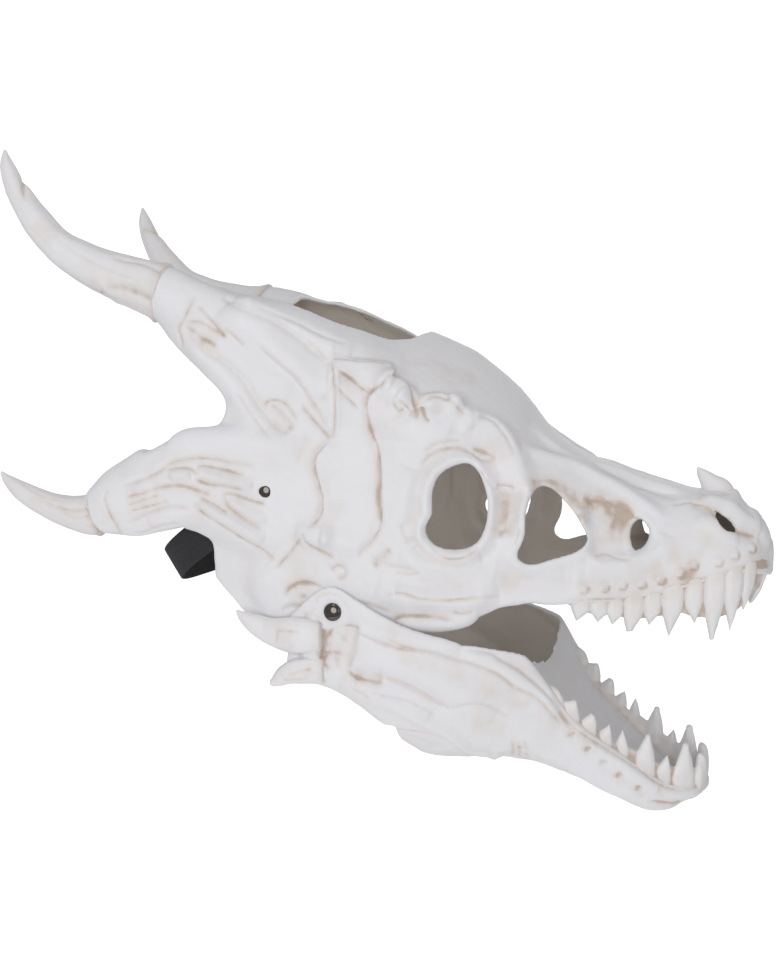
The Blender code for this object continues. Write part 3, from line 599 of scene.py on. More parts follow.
def noise_node(tree, coords, scale, detail=4.0, rough=0.55, distortion=0.0):
    n = tree.nodes.new("ShaderNodeTexNoise")
    n.inputs["Scale"].default_value = scale
    n.inputs["Detail"].default_value = detail
    n.inputs["Roughness"].default_value = rough
    n.inputs["Distortion"].default_value = distortion
    link(tree, coords, n.inputs["Vector"])
    return n.outputs["Fac"]


def ramp(tree, value, stops):
    r = tree.nodes.new("ShaderNodeValToRGB")
    while len(r.color_ramp.elements) < len(stops):
        r.color_ramp.elements.new(0.5)
    for e, (at, colour) in zip(r.color_ramp.elements, stops):
        e.position = at
        e.color = (*colour, 1.0) if len(colour) == 3 else colour
    link(tree, value, r.inputs["Fac"])
    return r.outputs["Color"]


def mix(tree, fac, a, b, kind="MIX"):
    m = tree.nodes.new("ShaderNodeMix")
    m.data_type = "RGBA"
    m.blend_type = kind
    if isinstance(fac, (int, float)):
        m.inputs["Factor"].default_value = fac
    else:
        link(tree, fac, m.inputs["Factor"])
    for socket, v in ((m.inputs["A"], a), (m.inputs["B"], b)):
        if isinstance(v, tuple):
            socket.default_value = (*v, 1.0)
        else:
            link(tree, v, socket)
    return m.outputs["Result"]


def calc(tree, op, a, b=None, clamp=False):
    m = tree.nodes.new("ShaderNodeMath")
    m.operation = op
    m.use_clamp = clamp
    for socket, v in zip(m.inputs, (a, b)):
        if v is None:
            continue
        if isinstance(v, (int, float)):
            socket.default_value = v
        else:
            link(tree, v, socket)
    return m.outputs[0]


def bump(tree, height, strength, distance, after=None):
    b = tree.nodes.new("ShaderNodeBump")
    b.inputs["Strength"].default_value = strength
    b.inputs["Distance"].default_value = distance
    link(tree, height, b.inputs["Height"])
    if after is not None:
        link(tree, after, b.inputs["Normal"])
    return b.outputs["Normal"]


def bone_finish(name, white, tan, brown, inside, rough=0.5, streak=0.0):
    """Painted bone: white, with a tan wash where the stain attribute gathers, and a darker, warmer inside colour on
    the inner faces as painted shade.
    """
    made, tree, shader = tree_of(name)
    coords = tree.nodes.new("ShaderNodeTexCoord").outputs["Object"]
    stain = tree.nodes.new("ShaderNodeAttribute")
    stain.attribute_name = "stain"
    inner_painted_shade = tree.nodes.new("ShaderNodeAttribute")
    inner_painted_shade.attribute_name = "inner_painted_shade"
    mottle = noise_node(tree, coords, 28.0, 5.0, 0.6)
    fine = noise_node(tree, coords, 160.0, 4.0, 0.65)
    # The wash is uneven: it breaks up at two scales.
    uneven = calc(tree, "ADD", calc(tree, "MULTIPLY", mottle, 1.1), calc(tree, "MULTIPLY", fine, 0.7))
    amount = calc(tree, "MULTIPLY", stain.outputs["Fac"], calc(tree, "ADD", uneven, 0.10), True)
    faint = calc(tree, "MULTIPLY", calc(tree, "SUBTRACT", mottle, 0.46, True), 0.7)
    colour = mix(tree, faint, white, tan)
    colour = mix(tree, ramp(tree, amount, [(0.0, (0, 0, 0)), (1.0, (1, 1, 1))]), colour, tan)
    colour = mix(tree, ramp(tree, amount, [(0.45, (0, 0, 0)), (1.0, (0.6, 0.6, 0.6))]), colour, brown)
    # Inner faces take the darker, warmer inside colour: painted shade of the hollow inside.
    colour = mix(tree, inner_painted_shade.outputs["Fac"], colour, inside)
    link(tree, colour, shader.inputs["Base Color"])
    shader.inputs["Roughness"].default_value = rough
    shader.inputs["Specular IOR Level"].default_value = 0.35
    # Fine casting grain, brushed paint and a few pits.
    mapping = tree.nodes.new("ShaderNodeMapping")
    mapping.inputs["Scale"].default_value = (60.0, 60.0, 420.0)
    mapping.inputs["Rotation"].default_value = (0.0, math.radians(12.0), 0.0)
    link(tree, coords, mapping.inputs["Vector"])
    brushed = noise_node(tree, mapping.outputs["Vector"], 1.0, 3.0, 0.6, 0.4)
    normal = bump(tree, brushed, 0.20, 0.0009)
    grain = noise_node(tree, coords, 900.0, 2.0, 0.6)
    normal = bump(tree, grain, 0.10, 0.0003, normal)
    lumps = noise_node(tree, coords, 90.0, 3.0, 0.5)
    normal = bump(tree, lumps, 0.24, 0.0016, normal)
    link(tree, normal, shader.inputs["Normal"])
    return made


WHITE = (0.80, 0.80, 0.83)
TAN = (0.68, 0.585, 0.515)
BROWN = (0.42, 0.325, 0.26)
# The fourth colour is the inside colour, darker and warmer: painted shade of the hollow inside.
bone = bone_finish("bone_white", WHITE, TAN, BROWN, (0.56, 0.51, 0.46), 0.52)
ivory = bone_finish("ivory_teeth", (0.80, 0.79, 0.80), TAN, BROWN, (0.66, 0.56, 0.46), 0.4)
horned = bone_finish("horn_white", (0.80, 0.79, 0.81), TAN, BROWN, (0.55, 0.5, 0.45), 0.48)

nickel, tree, shader = tree_of("dark_nickel")
shader.inputs["Base Color"].default_value = (0.12, 0.11, 0.102, 1.0)
shader.inputs["Metallic"].default_value = 1.0
coords = tree.nodes.new("ShaderNodeTexCoord").outputs["Object"]
wear = noise_node(tree, coords, 500.0, 3.0)
shader.inputs["Roughness"].default_value = 0.11
link(tree, bump(tree, wear, 0.05, 0.0002), shader.inputs["Normal"])

elastic, tree, shader = tree_of("black_elastic")
coords = tree.nodes.new("ShaderNodeTexCoord").outputs["Object"]
lint = noise_node(tree, coords, 1500.0, 2.0)
tone = ramp(tree, lint, [(0.3, (0.012, 0.012, 0.014)), (0.8, (0.035, 0.035, 0.04))])
link(tree, tone, shader.inputs["Base Color"])
shader.inputs["Roughness"].default_value = 0.85
link(tree, bump(tree, lint, 0.25, 0.0004), shader.inputs["Normal"])

# ------------------------------------------------------------ traced relief
# kind, width mm, height mm, wash, wash width mm, places in the picture plane

SKULL_FORMS = [
    ("knob", 9.5, 6.0, 0, 1, [(389, 385), (401, 394)]),
    ("ridge", 6.0, 2.6, 0, 1, [(398, 398), (408, 408), (414, 414)]),
    ("knob", 6.5, 4.6, 0, 1, [(429, 403), (440, 402), (452, 407)]),
    ("ridge", 8.0, 3.4, 0, 1, [(446, 402), (462, 410), (476, 424)]),
    ("ridge", 9.0, 4.6, 0, 1, [(474, 420), (486, 422), (500, 432), (512, 452), (520, 476), (524, 500), (523, 525), (515, 545)]),
    ("ridge", 8.0, 2.6, 0, 1, [(412, 470), (404, 500), (402, 525), (412, 548)]),
    ("groove", 9.0, -2.4, 0, 1, [(450, 428), (470, 438), (488, 452)]),
    ("groove", 9.0, -3.2, 0, 1, [(506, 487), (505, 510), (503, 540)]),
    ("step", 7.0, 4.2, 0, 1, [(396, 366), (384, 361), (362, 357), (345, 355), (331, 354)]),
    ("ridge", 7.0, 2.2, 0, 1, [(334, 360), (338, 385), (338, 412), (335, 435)]),
    ("step", 3.4, 2.8, 0, 1, [(333, 437), (324, 444), (315, 456), (316, 474), (320, 492), (321, 508), (314, 521)]),
    ("knob", 8.0, 4.2, 0, 1, [(308, 534), (322, 537)]),
    ("ridge", 7.5, 2.4, 0, 1, [(322, 537), (345, 543), (362, 550)]),
    ("step", 3.0, 1.6, 0, 1, [(383, 386), (369, 396), (366, 412), (372, 436), (379, 460), (381, 490), (381, 515), (372, 540)]),
    ("ridge", 14.0, 5.0, 0, 1, [(225, 300), (262, 330), (295, 362), (322, 398)]),
    ("ridge", 10.0, 3.6, 0, 1, [(186, 330), (222, 372), (243, 402), (262, 432)]),
    ("ridge", 9.0, 3.4, 0, 1, [(236, 292), (262, 305), (290, 319), (322, 336), (352, 346)]),
    ("ridge", 10.0, 3.0, 0, 1, [(168, 442), (205, 437), (250, 440), (300, 455)]),
    ("ridge", 11.0, 4.0, 0, 1, [(150, 524), (182, 512), (206, 514), (240, 532), (272, 555)]),
    ("knob", 15.0, 4.0, 0, 1, [(270, 588), (276, 602)]),
    ("ridge", 9.0, 3.6, 0, 1, [(378, 588), (405, 596), (440, 601), (470, 600), (498, 592)]),
    ("groove", 6.0, -1.8, 0, 1, [(396, 586), (430, 588), (480, 584)]),
    ("ridge", 6.0, 3.0, 0, 1, [(396, 621), (420, 624), (450, 624), (478, 615)]),
    ("ridge", 8.0, 2.6, 0, 1, [(400, 560), (440, 566), (480, 556)]),
    # snout: long ridges above the recess, and the recess
    ("ridge", 6.0, 3.4, 0, 1, [(519, 448), (545, 457), (575, 466), (597, 477), (625, 492), (650, 509), (668, 522)]),
    ("ridge", 6.0, 2.8, 0, 1, [(530, 424), (561, 452), (603, 466), (653, 484), (692, 494)]),
    ("groove", 5.0, -2.4, 0, 1, [(560, 446), (590, 462), (616, 474), (646, 487), (680, 499)]),
    ("patch", 5.0, -4.6, 0, 1, [(590, 498), (612, 505), (634, 517), (652, 533), (652, 545), (636, 553), (610, 556), (592, 552), (585, 530)]),
    ("ridge", 5.0, 1.8, 0, 1, [(585, 508), (586, 530), (589, 548)]),
    ("ridge", 7.0, 2.4, 0, 1, [(586, 562), (620, 565), (656, 554), (664, 535)]),
    ("groove", 4.5, -3.0, 0, 1, [(690, 504), (704, 507), (722, 519), (738, 532), (755, 537)]),
    ("ridge", 6.5, 3.4, 0, 1, [(700, 498), (724, 505), (744, 518), (758, 529)]),
    ("ridge", 5.0, 2.4, 0, 1, [(728, 493), (738, 494), (746, 499)]),
    ("ridge", 6.0, 1.8, 0, 1, [(700, 515), (718, 528), (740, 541)]),
    ("knob", 8.0, 2.5, 0, 1, [(757, 520), (764, 535)]),
    ("groove", 9.0, -2.2, 0, 1, [(575, 580), (530, 580), (495, 572)]),
    ("ridge", 7.0, 2.0, 0, 1, [(500, 602), (540, 598), (580, 594), (620, 592)]),
]
SKULL_LINES = [
    ("groove", 1.5, -2.0, 0.75, 2.2, [(388, 361), (372, 358), (356, 356), (340, 353), (331, 355)]),
    ("groove", 1.3, -1.9, 0.8, 2.0, [(331, 356), (333, 380), (334, 405), (334, 425), (331, 440)]),
    ("ridge", 1.4, 1.0, 0, 1, [(336.5, 362), (337.5, 390), (337.5, 420), (335, 436)]),
    ("groove", 1.4, -1.5, 0.8, 2.2, [(338, 366), (350, 376), (362, 388), (368, 392)]),
    ("groove", 1.4, -1.4, 0.8, 2.0, [(334, 384), (344, 394), (353, 403), (359, 409)]),
    ("groove", 1.6, -1.8, 0.8, 2.2, [(300, 405), (312, 418), (322, 430), (330, 439)]),
    ("groove", 1.6, -2.0, 0.85, 2.4, [(333, 439), (324, 445), (315, 456), (314, 466), (317, 480), (321, 497), (321, 510), (316, 520), (303, 531)]),
    ("groove", 1.6, -1.8, 0.8, 2.4, [(302, 531), (303, 541), (312, 548), (325, 554), (334, 558)]),
    ("groove", 1.4, -1.4, 0.7, 2.4, [(300, 538), (290, 552), (281, 562), (276, 568)]),
    ("groove", 1.6, -2.0, 0.9, 2.4, [(388, 378), (377, 386), (368, 394), (365, 404), (367, 418), (371, 432), (377, 448), (379, 465), (379, 480), (378, 500), (380, 515), (379, 527), (370, 543), (358, 556)]),
    ("groove", 1.2, -0.9, 0.4, 1.8, [(371, 402), (370, 418), (375, 436)]),
    # round the knobs
    ("groove", 1.8, -1.8, 0.5, 3.0, [(379, 392), (382, 380), (390, 374), (401, 376), (411, 386), (414, 396)]),
    ("groove", 1.6, -1.8, 0.9, 2.4, [(414, 392), (415, 402), (417, 414), (415, 420)]),
    ("groove", 1.3, -1.4, 0.9, 2.0, [(399, 400), (407, 407), (414, 413)]),
    ("groove", 1.2, -1.2, 0.7, 1.8, [(392, 402), (398, 411), (404, 408)]),
    ("groove", 2.0, -1.8, 0.5, 3.0, [(421, 404), (430, 396), (442, 396), (455, 405), (466, 414)]),
    ("groove", 1.6, -1.5, 0.8, 2.6, [(421, 406), (425, 416), (430, 422)]),
    ("groove", 2.2, -1.6, 0.3, 3.0, [(474, 418), (484, 416), (496, 422), (508, 438), (515, 455)]),
    ("groove", 1.8, -1.4, 0.45, 2.6, [(425, 451), (436, 444), (450, 441), (462, 440)]),
    ("groove", 1.6, -1.6, 0.6, 2.6, [(421, 466), (430, 456), (443, 450), (458, 448), (472, 452), (484, 460), (496, 460)]),
    ("groove", 1.4, -1.2, 0.7, 2.6, [(472, 448), (484, 452), (496, 459)]),
    ("groove", 1.3, -1.0, 0.5, 2.4, [(478, 470), (490, 484), (498, 492)]),
    ("groove", 2.6, -2.6, 0.9, 2.4, [(390, 549), (385, 555), (378, 563), (374, 567)]),
    ("groove", 3.4, -1.8, 0.3, 4.0, [(401, 524), (405, 534), (411, 545)]),
    ("groove", 2.0, -1.8, 0.85, 3.0, [(497, 486), (504, 486), (514, 488)]),
    ("groove", 1.6, -1.3, 0.6, 2.4, [(434, 549), (448, 560), (465, 558), (480, 548)]),
    # horn core strands
    ("groove", 3.2, -3.2, 0.1, 3.0, [(222, 291), (252, 303), (271, 311), (291, 324), (302, 332), (310, 340), (318, 348), (327, 356)]),
    ("groove", 2.4, -1.6, 0.0, 3.0, [(252, 296), (275, 306), (297, 315), (318, 326), (334, 333), (348, 338)]),
    ("groove", 3.0, -2.8, 0.25, 3.0, [(200, 336), (216, 350), (233, 365), (245, 380), (254, 395), (262, 407), (272, 420), (284, 436)]),
    ("groove", 2.2, -1.6, 0.3, 2.6, [(258, 338), (276, 358), (291, 373), (305, 392), (317, 410), (326, 428)]),
    ("groove", 3.2, -2.6, 0.5, 3.0, [(270, 404), (280, 416), (292, 430)]),
    ("groove", 1.4, -1.4, 0.85, 2.0, [(266, 410), (265, 403), (273, 400), (283, 402), (290, 410), (297, 419)]),
    ("groove", 1.4, -1.0, 0.5, 2.0, [(268, 412), (278, 424), (288, 434)]),
    ("groove", 1.4, -0.9, 0.5, 2.4, [(222, 322), (232, 328), (244, 340)]),
    ("groove", 1.6, -1.2, 0.6, 2.4, [(197, 297), (205, 306), (214, 317), (225, 331)]),
    ("groove", 1.6, -1.4, 0.5, 2.4, [(184, 317), (199, 315), (212, 322), (226, 331)]),
    ("groove", 2.2, -2.0, 0.75, 3.4, [(183, 320), (196, 329), (209, 335), (216, 340)]),
    ("groove", 4.0, -2.2, 0.5, 4.0, [(186, 326), (200, 338), (214, 350)]),
    ("groove", 1.4, -1.4, 0.6, 2.2, [(196, 288), (188, 303), (182, 316), (178, 325), (181, 336), (181, 346)]),
    ("groove", 1.6, -1.0, 0.35, 2.4, [(236, 392), (248, 410), (262, 428), (270, 440)]),
    # cheek horn core
    ("ridge", 3.4, 2.4, 0, 1, [(170, 476), (180, 475), (190, 475)]),
    ("groove", 1.3, -1.0, 0.6, 2.2, [(166, 470), (180, 468), (192, 470), (195, 476)]),
    ("ridge", 3.8, 2.6, 0, 1, [(197, 471), (208, 476), (230, 481), (252, 485)]),
    ("groove", 1.6, -1.4, 0.7, 2.6, [(195, 479), (206, 484), (222, 486), (243, 490)]),
    ("groove", 1.6, -1.2, 0.65, 2.6, [(196, 468), (205, 466), (225, 470), (246, 476)]),
    ("groove", 1.8, -1.6, 0.8, 3.0, [(223, 496), (232, 494), (248, 500), (266, 505)]),
    ("ridge", 3.4, 2.0, 0, 1, [(229, 501), (248, 512), (266, 521)]),
    ("groove", 1.5, -1.2, 0.6, 2.6, [(224, 497), (230, 508), (246, 520), (262, 529)]),
    ("ridge", 4.2, 2.6, 0, 1, [(199, 502), (216, 513), (240, 527), (263, 541)]),
    ("groove", 1.8, -1.8, 0.6, 2.8, [(196, 500), (197, 507), (208, 517), (222, 526), (243, 540), (264, 551), (275, 561)]),
    ("groove", 1.6, -1.2, 0.5, 2.8, [(200, 498), (215, 505), (228, 514)]),
    ("groove", 2.0, -1.4, 0.7, 4.0, [(120, 486), (140, 480), (158, 472), (174, 462), (200, 458), (230, 462), (256, 466)]),
    ("groove", 2.0, -1.4, 0.7, 4.0, [(122, 498), (140, 494), (158, 488), (178, 486), (196, 490), (212, 496)]),
    ("groove", 1.3, -0.9, 0.4, 2.6, [(126, 506), (142, 500), (160, 494)]),
    ("groove", 1.3, -0.9, 0.4, 2.6, [(128, 512), (150, 506), (170, 500)]),
    ("groove", 2.6, -1.6, 0.35, 3.4, [(128, 524), (148, 514), (170, 506), (192, 510)]),
    ("groove", 1.8, -1.4, 0.3, 2.4, [(132, 534), (145, 533), (156, 528), (180, 523)]),
    ("groove", 1.4, -1.2, 0.6, 2.2, [(108, 488), (104, 499), (110, 515), (118, 530), (121, 537)]),
    # jaw joint
    ("groove", 1.8, -1.6, 0.9, 3.0, [(285, 597), (289, 589), (299, 583), (314, 584), (326, 592)]),
    ("ridge", 3.2, 1.2, 0, 1, [(297, 594), (303, 591), (309, 594), (308, 600), (300, 600)]),
    ("groove", 1.6, -1.2, 0.9, 3.2, [(281, 612), (291, 606), (305, 607), (316, 606)]),
    ("groove", 1.6, -1.2, 0.8, 3.0, [(330, 572), (336, 566), (345, 569), (344, 577), (336, 580)]),
    ("wash", 3, 0, 0.7, 4.0, [(337, 592), (346, 594)]),
    ("wash", 3, 0, 0.5, 5.0, [(300, 597), (312, 597)]),
    ("wash", 3, 0, 0.45, 7.0, [(296, 548), (300, 566), (318, 580)]),
    ("groove", 1.6, -1.3, 0.8, 2.6, [(384, 597), (392, 594), (404, 593), (420, 598), (445, 600), (470, 598), (500, 597)]),
    ("groove", 1.5, -1.5, 0.9, 2.4, [(392, 622), (400, 617), (412, 616), (430, 617), (448, 620), (456, 622)]),
    ("groove", 1.3, -1.0, 0.7, 2.4, [(452, 612), (462, 614), (474, 612)]),
    ("groove", 1.4, -1.0, 0.5, 2.4, [(350, 600), (366, 604), (380, 609), (390, 614)]),
    ("groove", 1.8, -1.2, 0.35, 2.6, [(372, 558), (392, 566), (415, 570)]),
    ("groove", 1.4, -0.9, 0.4, 2.2, [(395, 572), (408, 575), (420, 573)]),
    ("wash", 3, 0, 0.55, 5.0, [(500, 586), (510, 584), (518, 588)]),
    ("wash", 3, 0, 0.45, 7.0, [(345, 368), (352, 384), (357, 396)]),
    ("wash", 3, 0, 0.4, 8.0, [(392, 416), (398, 428), (396, 442)]),
    ("wash", 3, 0, 0.35, 7.0, [(336, 498), (338, 512), (342, 520)]),
    ("wash", 3, 0, 0.35, 6.0, [(300, 440), (310, 446)]),
    ("wash", 3, 0, 0.35, 8.0, [(490, 440), (500, 452), (506, 462)]),
    ("wash", 3, 0, 1.0, 8.0, [(505, 490), (505, 512), (502, 538)]),
    ("wash", 3, 0, 0.3, 9.0, [(420, 356), (450, 366), (480, 384)]),
    ("wash", 3, 0, 0.3, 9.0, [(395, 352), (430, 372), (470, 392)]),
    # fenestra and recess
    ("wash", 3, 0, 1.7, 4.5, [(530, 492), (537, 485), (548, 483), (560, 488), (570, 494), (578, 508), (582, 530)]),
    ("wash", 3, 0, 1.8, 4.6, [(582, 498), (600, 502), (618, 508), (634, 517)]),
    ("wash", 3, 0, 0.7, 8.0, [(598, 514), (606, 530), (612, 545)]),
    ("wash", 3, 0, 0.75, 7.0, [(612, 520), (626, 530), (630, 546)]),
    ("groove", 1.6, -1.2, 0.6, 2.6, [(586, 501), (604, 503), (622, 511), (638, 520), (650, 531)]),
    ("groove", 1.5, -1.0, 0.35, 2.4, [(594, 556), (606, 553), (618, 558), (632, 560)]),
    ("groove", 1.4, -1.2, 0.5, 2.2, [(515, 545), (517, 536), (520, 528)]),
    ("groove", 1.4, -1.6, 0.8, 2.2, [(694, 503), (704, 506), (718, 516), (730, 524), (740, 533), (757, 537)]),
    ("groove", 1.4, -1.0, 0.6, 2.2, [(672, 505), (688, 502), (702, 505)]),
    ("groove", 1.4, -1.0, 0.2, 2.2, [(700, 493), (716, 494), (730, 493)]),
    ("groove", 1.8, -1.2, 0.0, 2.2, [(618, 480), (648, 490), (676, 495)]),
    ("groove", 1.2, -0.7, 0.3, 2.0, [(757, 529), (763, 520), (758, 515)]),
    # lip bead and the roots of the teeth
    ("groove", 1.3, -1.3, 0.95, 1.8, [(566, 601), (582, 601), (606, 600), (634, 599), (652, 596), (672, 589), (700, 580), (730, 572), (752, 566), (772, 566)]),
    ("wash", 3, 0, 0.5, 4.0, [(620, 594), (650, 590), (680, 580), (700, 572)]),
    ("wash", 3, 0, 0.55, 7.0, [(628, 577), (648, 573), (664, 566)]),
    ("wash", 3, 0, 0.55, 7.0, [(668, 556), (684, 560), (700, 566)]),
    ("wash", 3, 0, 0.45, 8.0, [(696, 540), (715, 542), (735, 546)]),
    ("wash", 3, 0, 0.4, 8.0, [(748, 548), (762, 552), (768, 560)]),
    ("wash", 3, 0, 0.35, 5.0, [(575, 583), (592, 584), (606, 582)]),
]
ROOTS = [(584, 589), (605, 587.5), (623, 585), (642, 584), (661, 580), (681, 573.6), (694, 565.5),
         (719, 562), (735.5, 555), (752.5, 548)]
for ROOT_X, ROOT_Y in ROOTS:
    SKULL_LINES += [
        ("knob", 2.9, 1.2, 0, 1, [(ROOT_X, ROOT_Y)]),
        ("groove", 1.2, -1.0, 0.5, 1.8, [(ROOT_X - 3.5, ROOT_Y + 3), (ROOT_X + 0.5, ROOT_Y + 4.8),
                                          (ROOT_X + 4.4, ROOT_Y + 2), (ROOT_X + 4, ROOT_Y - 2.5)]),
        ("wash", 3, 0, 0.25, 4.0, [(ROOT_X, ROOT_Y + 1)]),
    ]

JAW_FORMS = [
    ("ridge", 7.0, 3.0, 0, 1, [(348, 620), (372, 632), (400, 640), (430, 645), (460, 650)]),
    ("ridge", 6.0, 3.4, 0, 1, [(460, 654), (490, 662), (510, 673), (530, 687), (545, 700), (556, 715)]),
    ("groove", 7.0, -2.6, 0, 1, [(340, 640), (346, 634), (358, 636)]),
    ("groove", 7.0, -2.4, 0, 1, [(335, 661), (343, 660), (352, 664)]),
    ("groove", 6.0, -2.4, 0, 1, [(355, 675), (366, 676), (382, 681)]),
    ("groove", 6.0, -2.4, 0, 1, [(372, 674), (390, 680), (415, 690), (440, 703), (455, 712)]),
    ("ridge", 9.0, 3.0, 0, 1, [(350, 655), (380, 664), (420, 678), (460, 695), (495, 715)]),
    ("ridge", 8.0, 2.8, 0, 1, [(340, 684), (370, 692), (400, 702), (430, 716)]),
    ("ridge", 4.0, 3.0, 0, 1, [(369, 700), (396, 708), (424, 722), (452, 737), (470, 750), (489, 754), (508, 761)]),
    ("ridge", 5.0, 3.2, 0, 1, [(312, 612), (318, 625), (316, 640), (309, 652)]),
    ("ridge", 5.0, 2.8, 0, 1, [(300, 656), (314, 657), (322, 668), (322, 680)]),
    ("groove", 5.0, -2.0, 0, 1, [(322, 630), (325, 645), (324, 660)]),
    ("groove", 8.0, -2.0, 0, 1, [(388, 728), (410, 738), (440, 750)]),
    ("ridge", 5.0, 2.2, 0, 1, [(566, 722), (590, 742), (620, 763), (645, 782), (672, 795), (700, 792)]),
    ("groove", 5.0, -2.2, 0, 1, [(648, 801), (664, 804), (684, 803)]),
    ("ridge", 7.0, 2.0, 0, 1, [(520, 735), (560, 762), (600, 785), (630, 800)]),
]
JAW_LINES = [
    ("groove", 1.9, -2.4, 0.45, 2.6, [(350, 629), (369, 640), (396, 649), (424, 653), (452, 660), (480, 669), (498, 676), (516, 689), (533, 697), (550, 712), (563, 726)]),
    ("groove", 1.6, -1.6, 0.3, 2.4, [(462, 650), (489, 652), (502, 660), (517, 668), (530, 678), (540, 686), (550, 697), (558, 708)]),
    ("groove", 1.4, -1.0, 0.35, 2.2, [(386, 638), (400, 646), (416, 651)]),
    ("groove", 1.7, -1.6, 0.8, 2.6, [(328, 639), (330, 632), (337, 627), (350, 626), (360, 630)]),
    ("groove", 1.6, -1.5, 0.8, 2.6, [(324, 668), (323, 658), (330, 652), (342, 654)]),
    ("groove", 1.8, -1.6, 0.8, 3.2, [(320, 624), (325, 636), (323, 650), (325, 662), (331, 671)]),
    ("groove", 1.8, -1.6, 0.95, 2.8, [(347, 670), (354, 676), (366, 680), (384, 683)]),
    ("groove", 1.8, -1.5, 0.3, 2.4, [(386, 678), (410, 688), (434, 701), (450, 709)]),
    ("groove", 1.6, -1.0, 0.3, 2.4, [(450, 708), (470, 704), (488, 706), (510, 718)]),
    ("groove", 1.4, -0.8, 0.3, 2.4, [(360, 690), (384, 696), (410, 702), (436, 716)]),
    ("groove", 1.4, -1.0, 0.4, 2.2, [(352, 690), (362, 694), (368, 699)]),
    ("groove", 1.6, -1.0, 0.4, 3.0, [(390, 728), (410, 731), (432, 735)]),
    ("groove", 1.4, -1.2, 0.5, 2.2, [(306, 612), (303, 626), (301, 640), (292, 652)]),
    ("groove", 1.4, -1.2, 0.5, 2.2, [(313, 620), (311, 634), (305, 646), (296, 655)]),
    ("groove", 1.4, -1.2, 0.4, 2.2, [(296, 656), (308, 660), (317, 670), (316, 682)]),
    ("groove", 1.2, -1.0, 0.4, 2.2, [(316, 606), (318, 597), (330, 594), (342, 600), (348, 612)]),
    ("wash", 3, 0, 0.55, 6.0, [(400, 657), (430, 668), (470, 682), (505, 697), (530, 712)]),
    ("wash", 3, 0, 0.45, 7.0, [(320, 630), (316, 645), (325, 656)]),
    ("wash", 3, 0, 0.5, 7.0, [(340, 640), (360, 650)]),
    ("wash", 3, 0, 0.5, 6.0, [(470, 722), (490, 726), (505, 732)]),
    ("wash", 3, 0, 0.6, 5.0, [(512, 742), (520, 750), (524, 760)]),
    ("wash", 3, 0, 0.35, 8.0, [(390, 735), (430, 750), (470, 757)]),
    ("wash", 3, 0, 0.4, 5.0, [(372, 622), (388, 628), (400, 634)]),
    ("wash", 3, 0, 0.5, 6.0, [(536, 706), (552, 722), (566, 736)]),
    ("groove", 1.2, -1.2, 0.95, 1.8, [(553, 697), (561, 711), (570, 724), (586, 736), (606, 748), (626, 761), (643, 772), (656, 782), (672, 789), (687, 789), (700, 783), (706, 778)]),
    ("groove", 1.0, -0.8, 0.5, 1.8, [(556, 706), (564, 720), (576, 733), (598, 746), (618, 759)]),
    ("groove", 1.8, -1.6, 0.9, 3.0, [(650, 801), (662, 803), (674, 804), (686, 802)]),
    ("groove", 1.2, -0.8, 0.6, 1.8, [(518, 742), (520, 752), (518, 762)]),
    ("groove", 1.2, -0.8, 0.6, 1.8, [(524, 740), (527, 750), (525, 760)]),
    ("groove", 1.2, -0.8, 0.5, 1.8, [(512, 738), (513, 748), (512, 758)]),
]
for ROOT_X, ROOT_Y in [(572, 736), (588, 751), (604, 764.5), (619.5, 777), (638.5, 790)]:
    JAW_LINES += [
        ("groove", 2.2, -1.8, 0.95, 2.4, [(ROOT_X - 2.5, ROOT_Y + 2), (ROOT_X - 1, ROOT_Y - 2), (ROOT_X + 3, ROOT_Y - 1)]),
        ("wash", 3, 0, 0.5, 3.0, [(ROOT_X + 1, ROOT_Y + 4)]),
    ]

HORN_LINES = [
    ("groove", 3.6, -2.6, 0.9, 4.4, [(105, 287), (118, 288), (134, 292), (149, 299), (166, 309)]),
    ("groove", 1.3, -1.2, 0.9, 1.8, [(99, 296), (102, 292), (106, 289)]),
    ("ridge", 3.0, 1.2, 0, 1, [(104, 298), (125, 305), (150, 316), (170, 330)]),
    ("groove", 2.4, -2.0, 0.3, 2.6, [(112, 257), (128, 260), (146, 263), (166, 271), (190, 278), (200, 282)]),
    ("groove", 1.5, -1.4, 0.8, 2.4, [(192, 286), (180, 299), (171, 314), (168, 324), (171, 338)]),
    ("groove", 1.3, -1.0, 0.6, 2.2, [(170, 290), (169, 295), (174, 286), (181, 284)]),
    ("groove", 3.0, -1.6, 0.6, 3.6, [(25, 179), (24, 190), (24, 201)]),
    ("groove", 1.4, -1.2, 0.5, 2.0, [(26, 176), (25, 184), (25, 194)]),
    ("wash", 3, 0, 0.5, 5.0, [(36, 219), (46, 230), (56, 240)]),
    ("wash", 3, 0, 0.4, 6.0, [(90, 280), (110, 290)]),
    ("wash", 3, 0, 0.6, 8.0, [(160, 272), (172, 280), (170, 300), (160, 315)]),
    ("groove", 1.4, -0.6, 0.1, 2.4, [(50, 232), (80, 255), (110, 270), (140, 280)]),
]
CHEEK_LINES = [
    ("groove", 1.4, -1.2, 0.6, 2.2, [(101, 490), (98, 503), (102, 516), (110, 530)]),
    ("groove", 2.4, -1.2, 0.8, 5.0, [(40, 498), (56, 506), (74, 510), (98, 505)]),
    ("groove", 1.2, -0.6, 0.4, 2.4, [(60, 512), (76, 518), (96, 514)]),
    ("wash", 3, 0, 0.5, 5.0, [(88, 496), (98, 500)]),
    ("wash", 3, 0, 0.4, 5.0, [(30, 494), (42, 502)]),
    ("groove", 1.2, -0.5, 0.2, 2.0, [(22, 484), (44, 496), (70, 502)]),
]
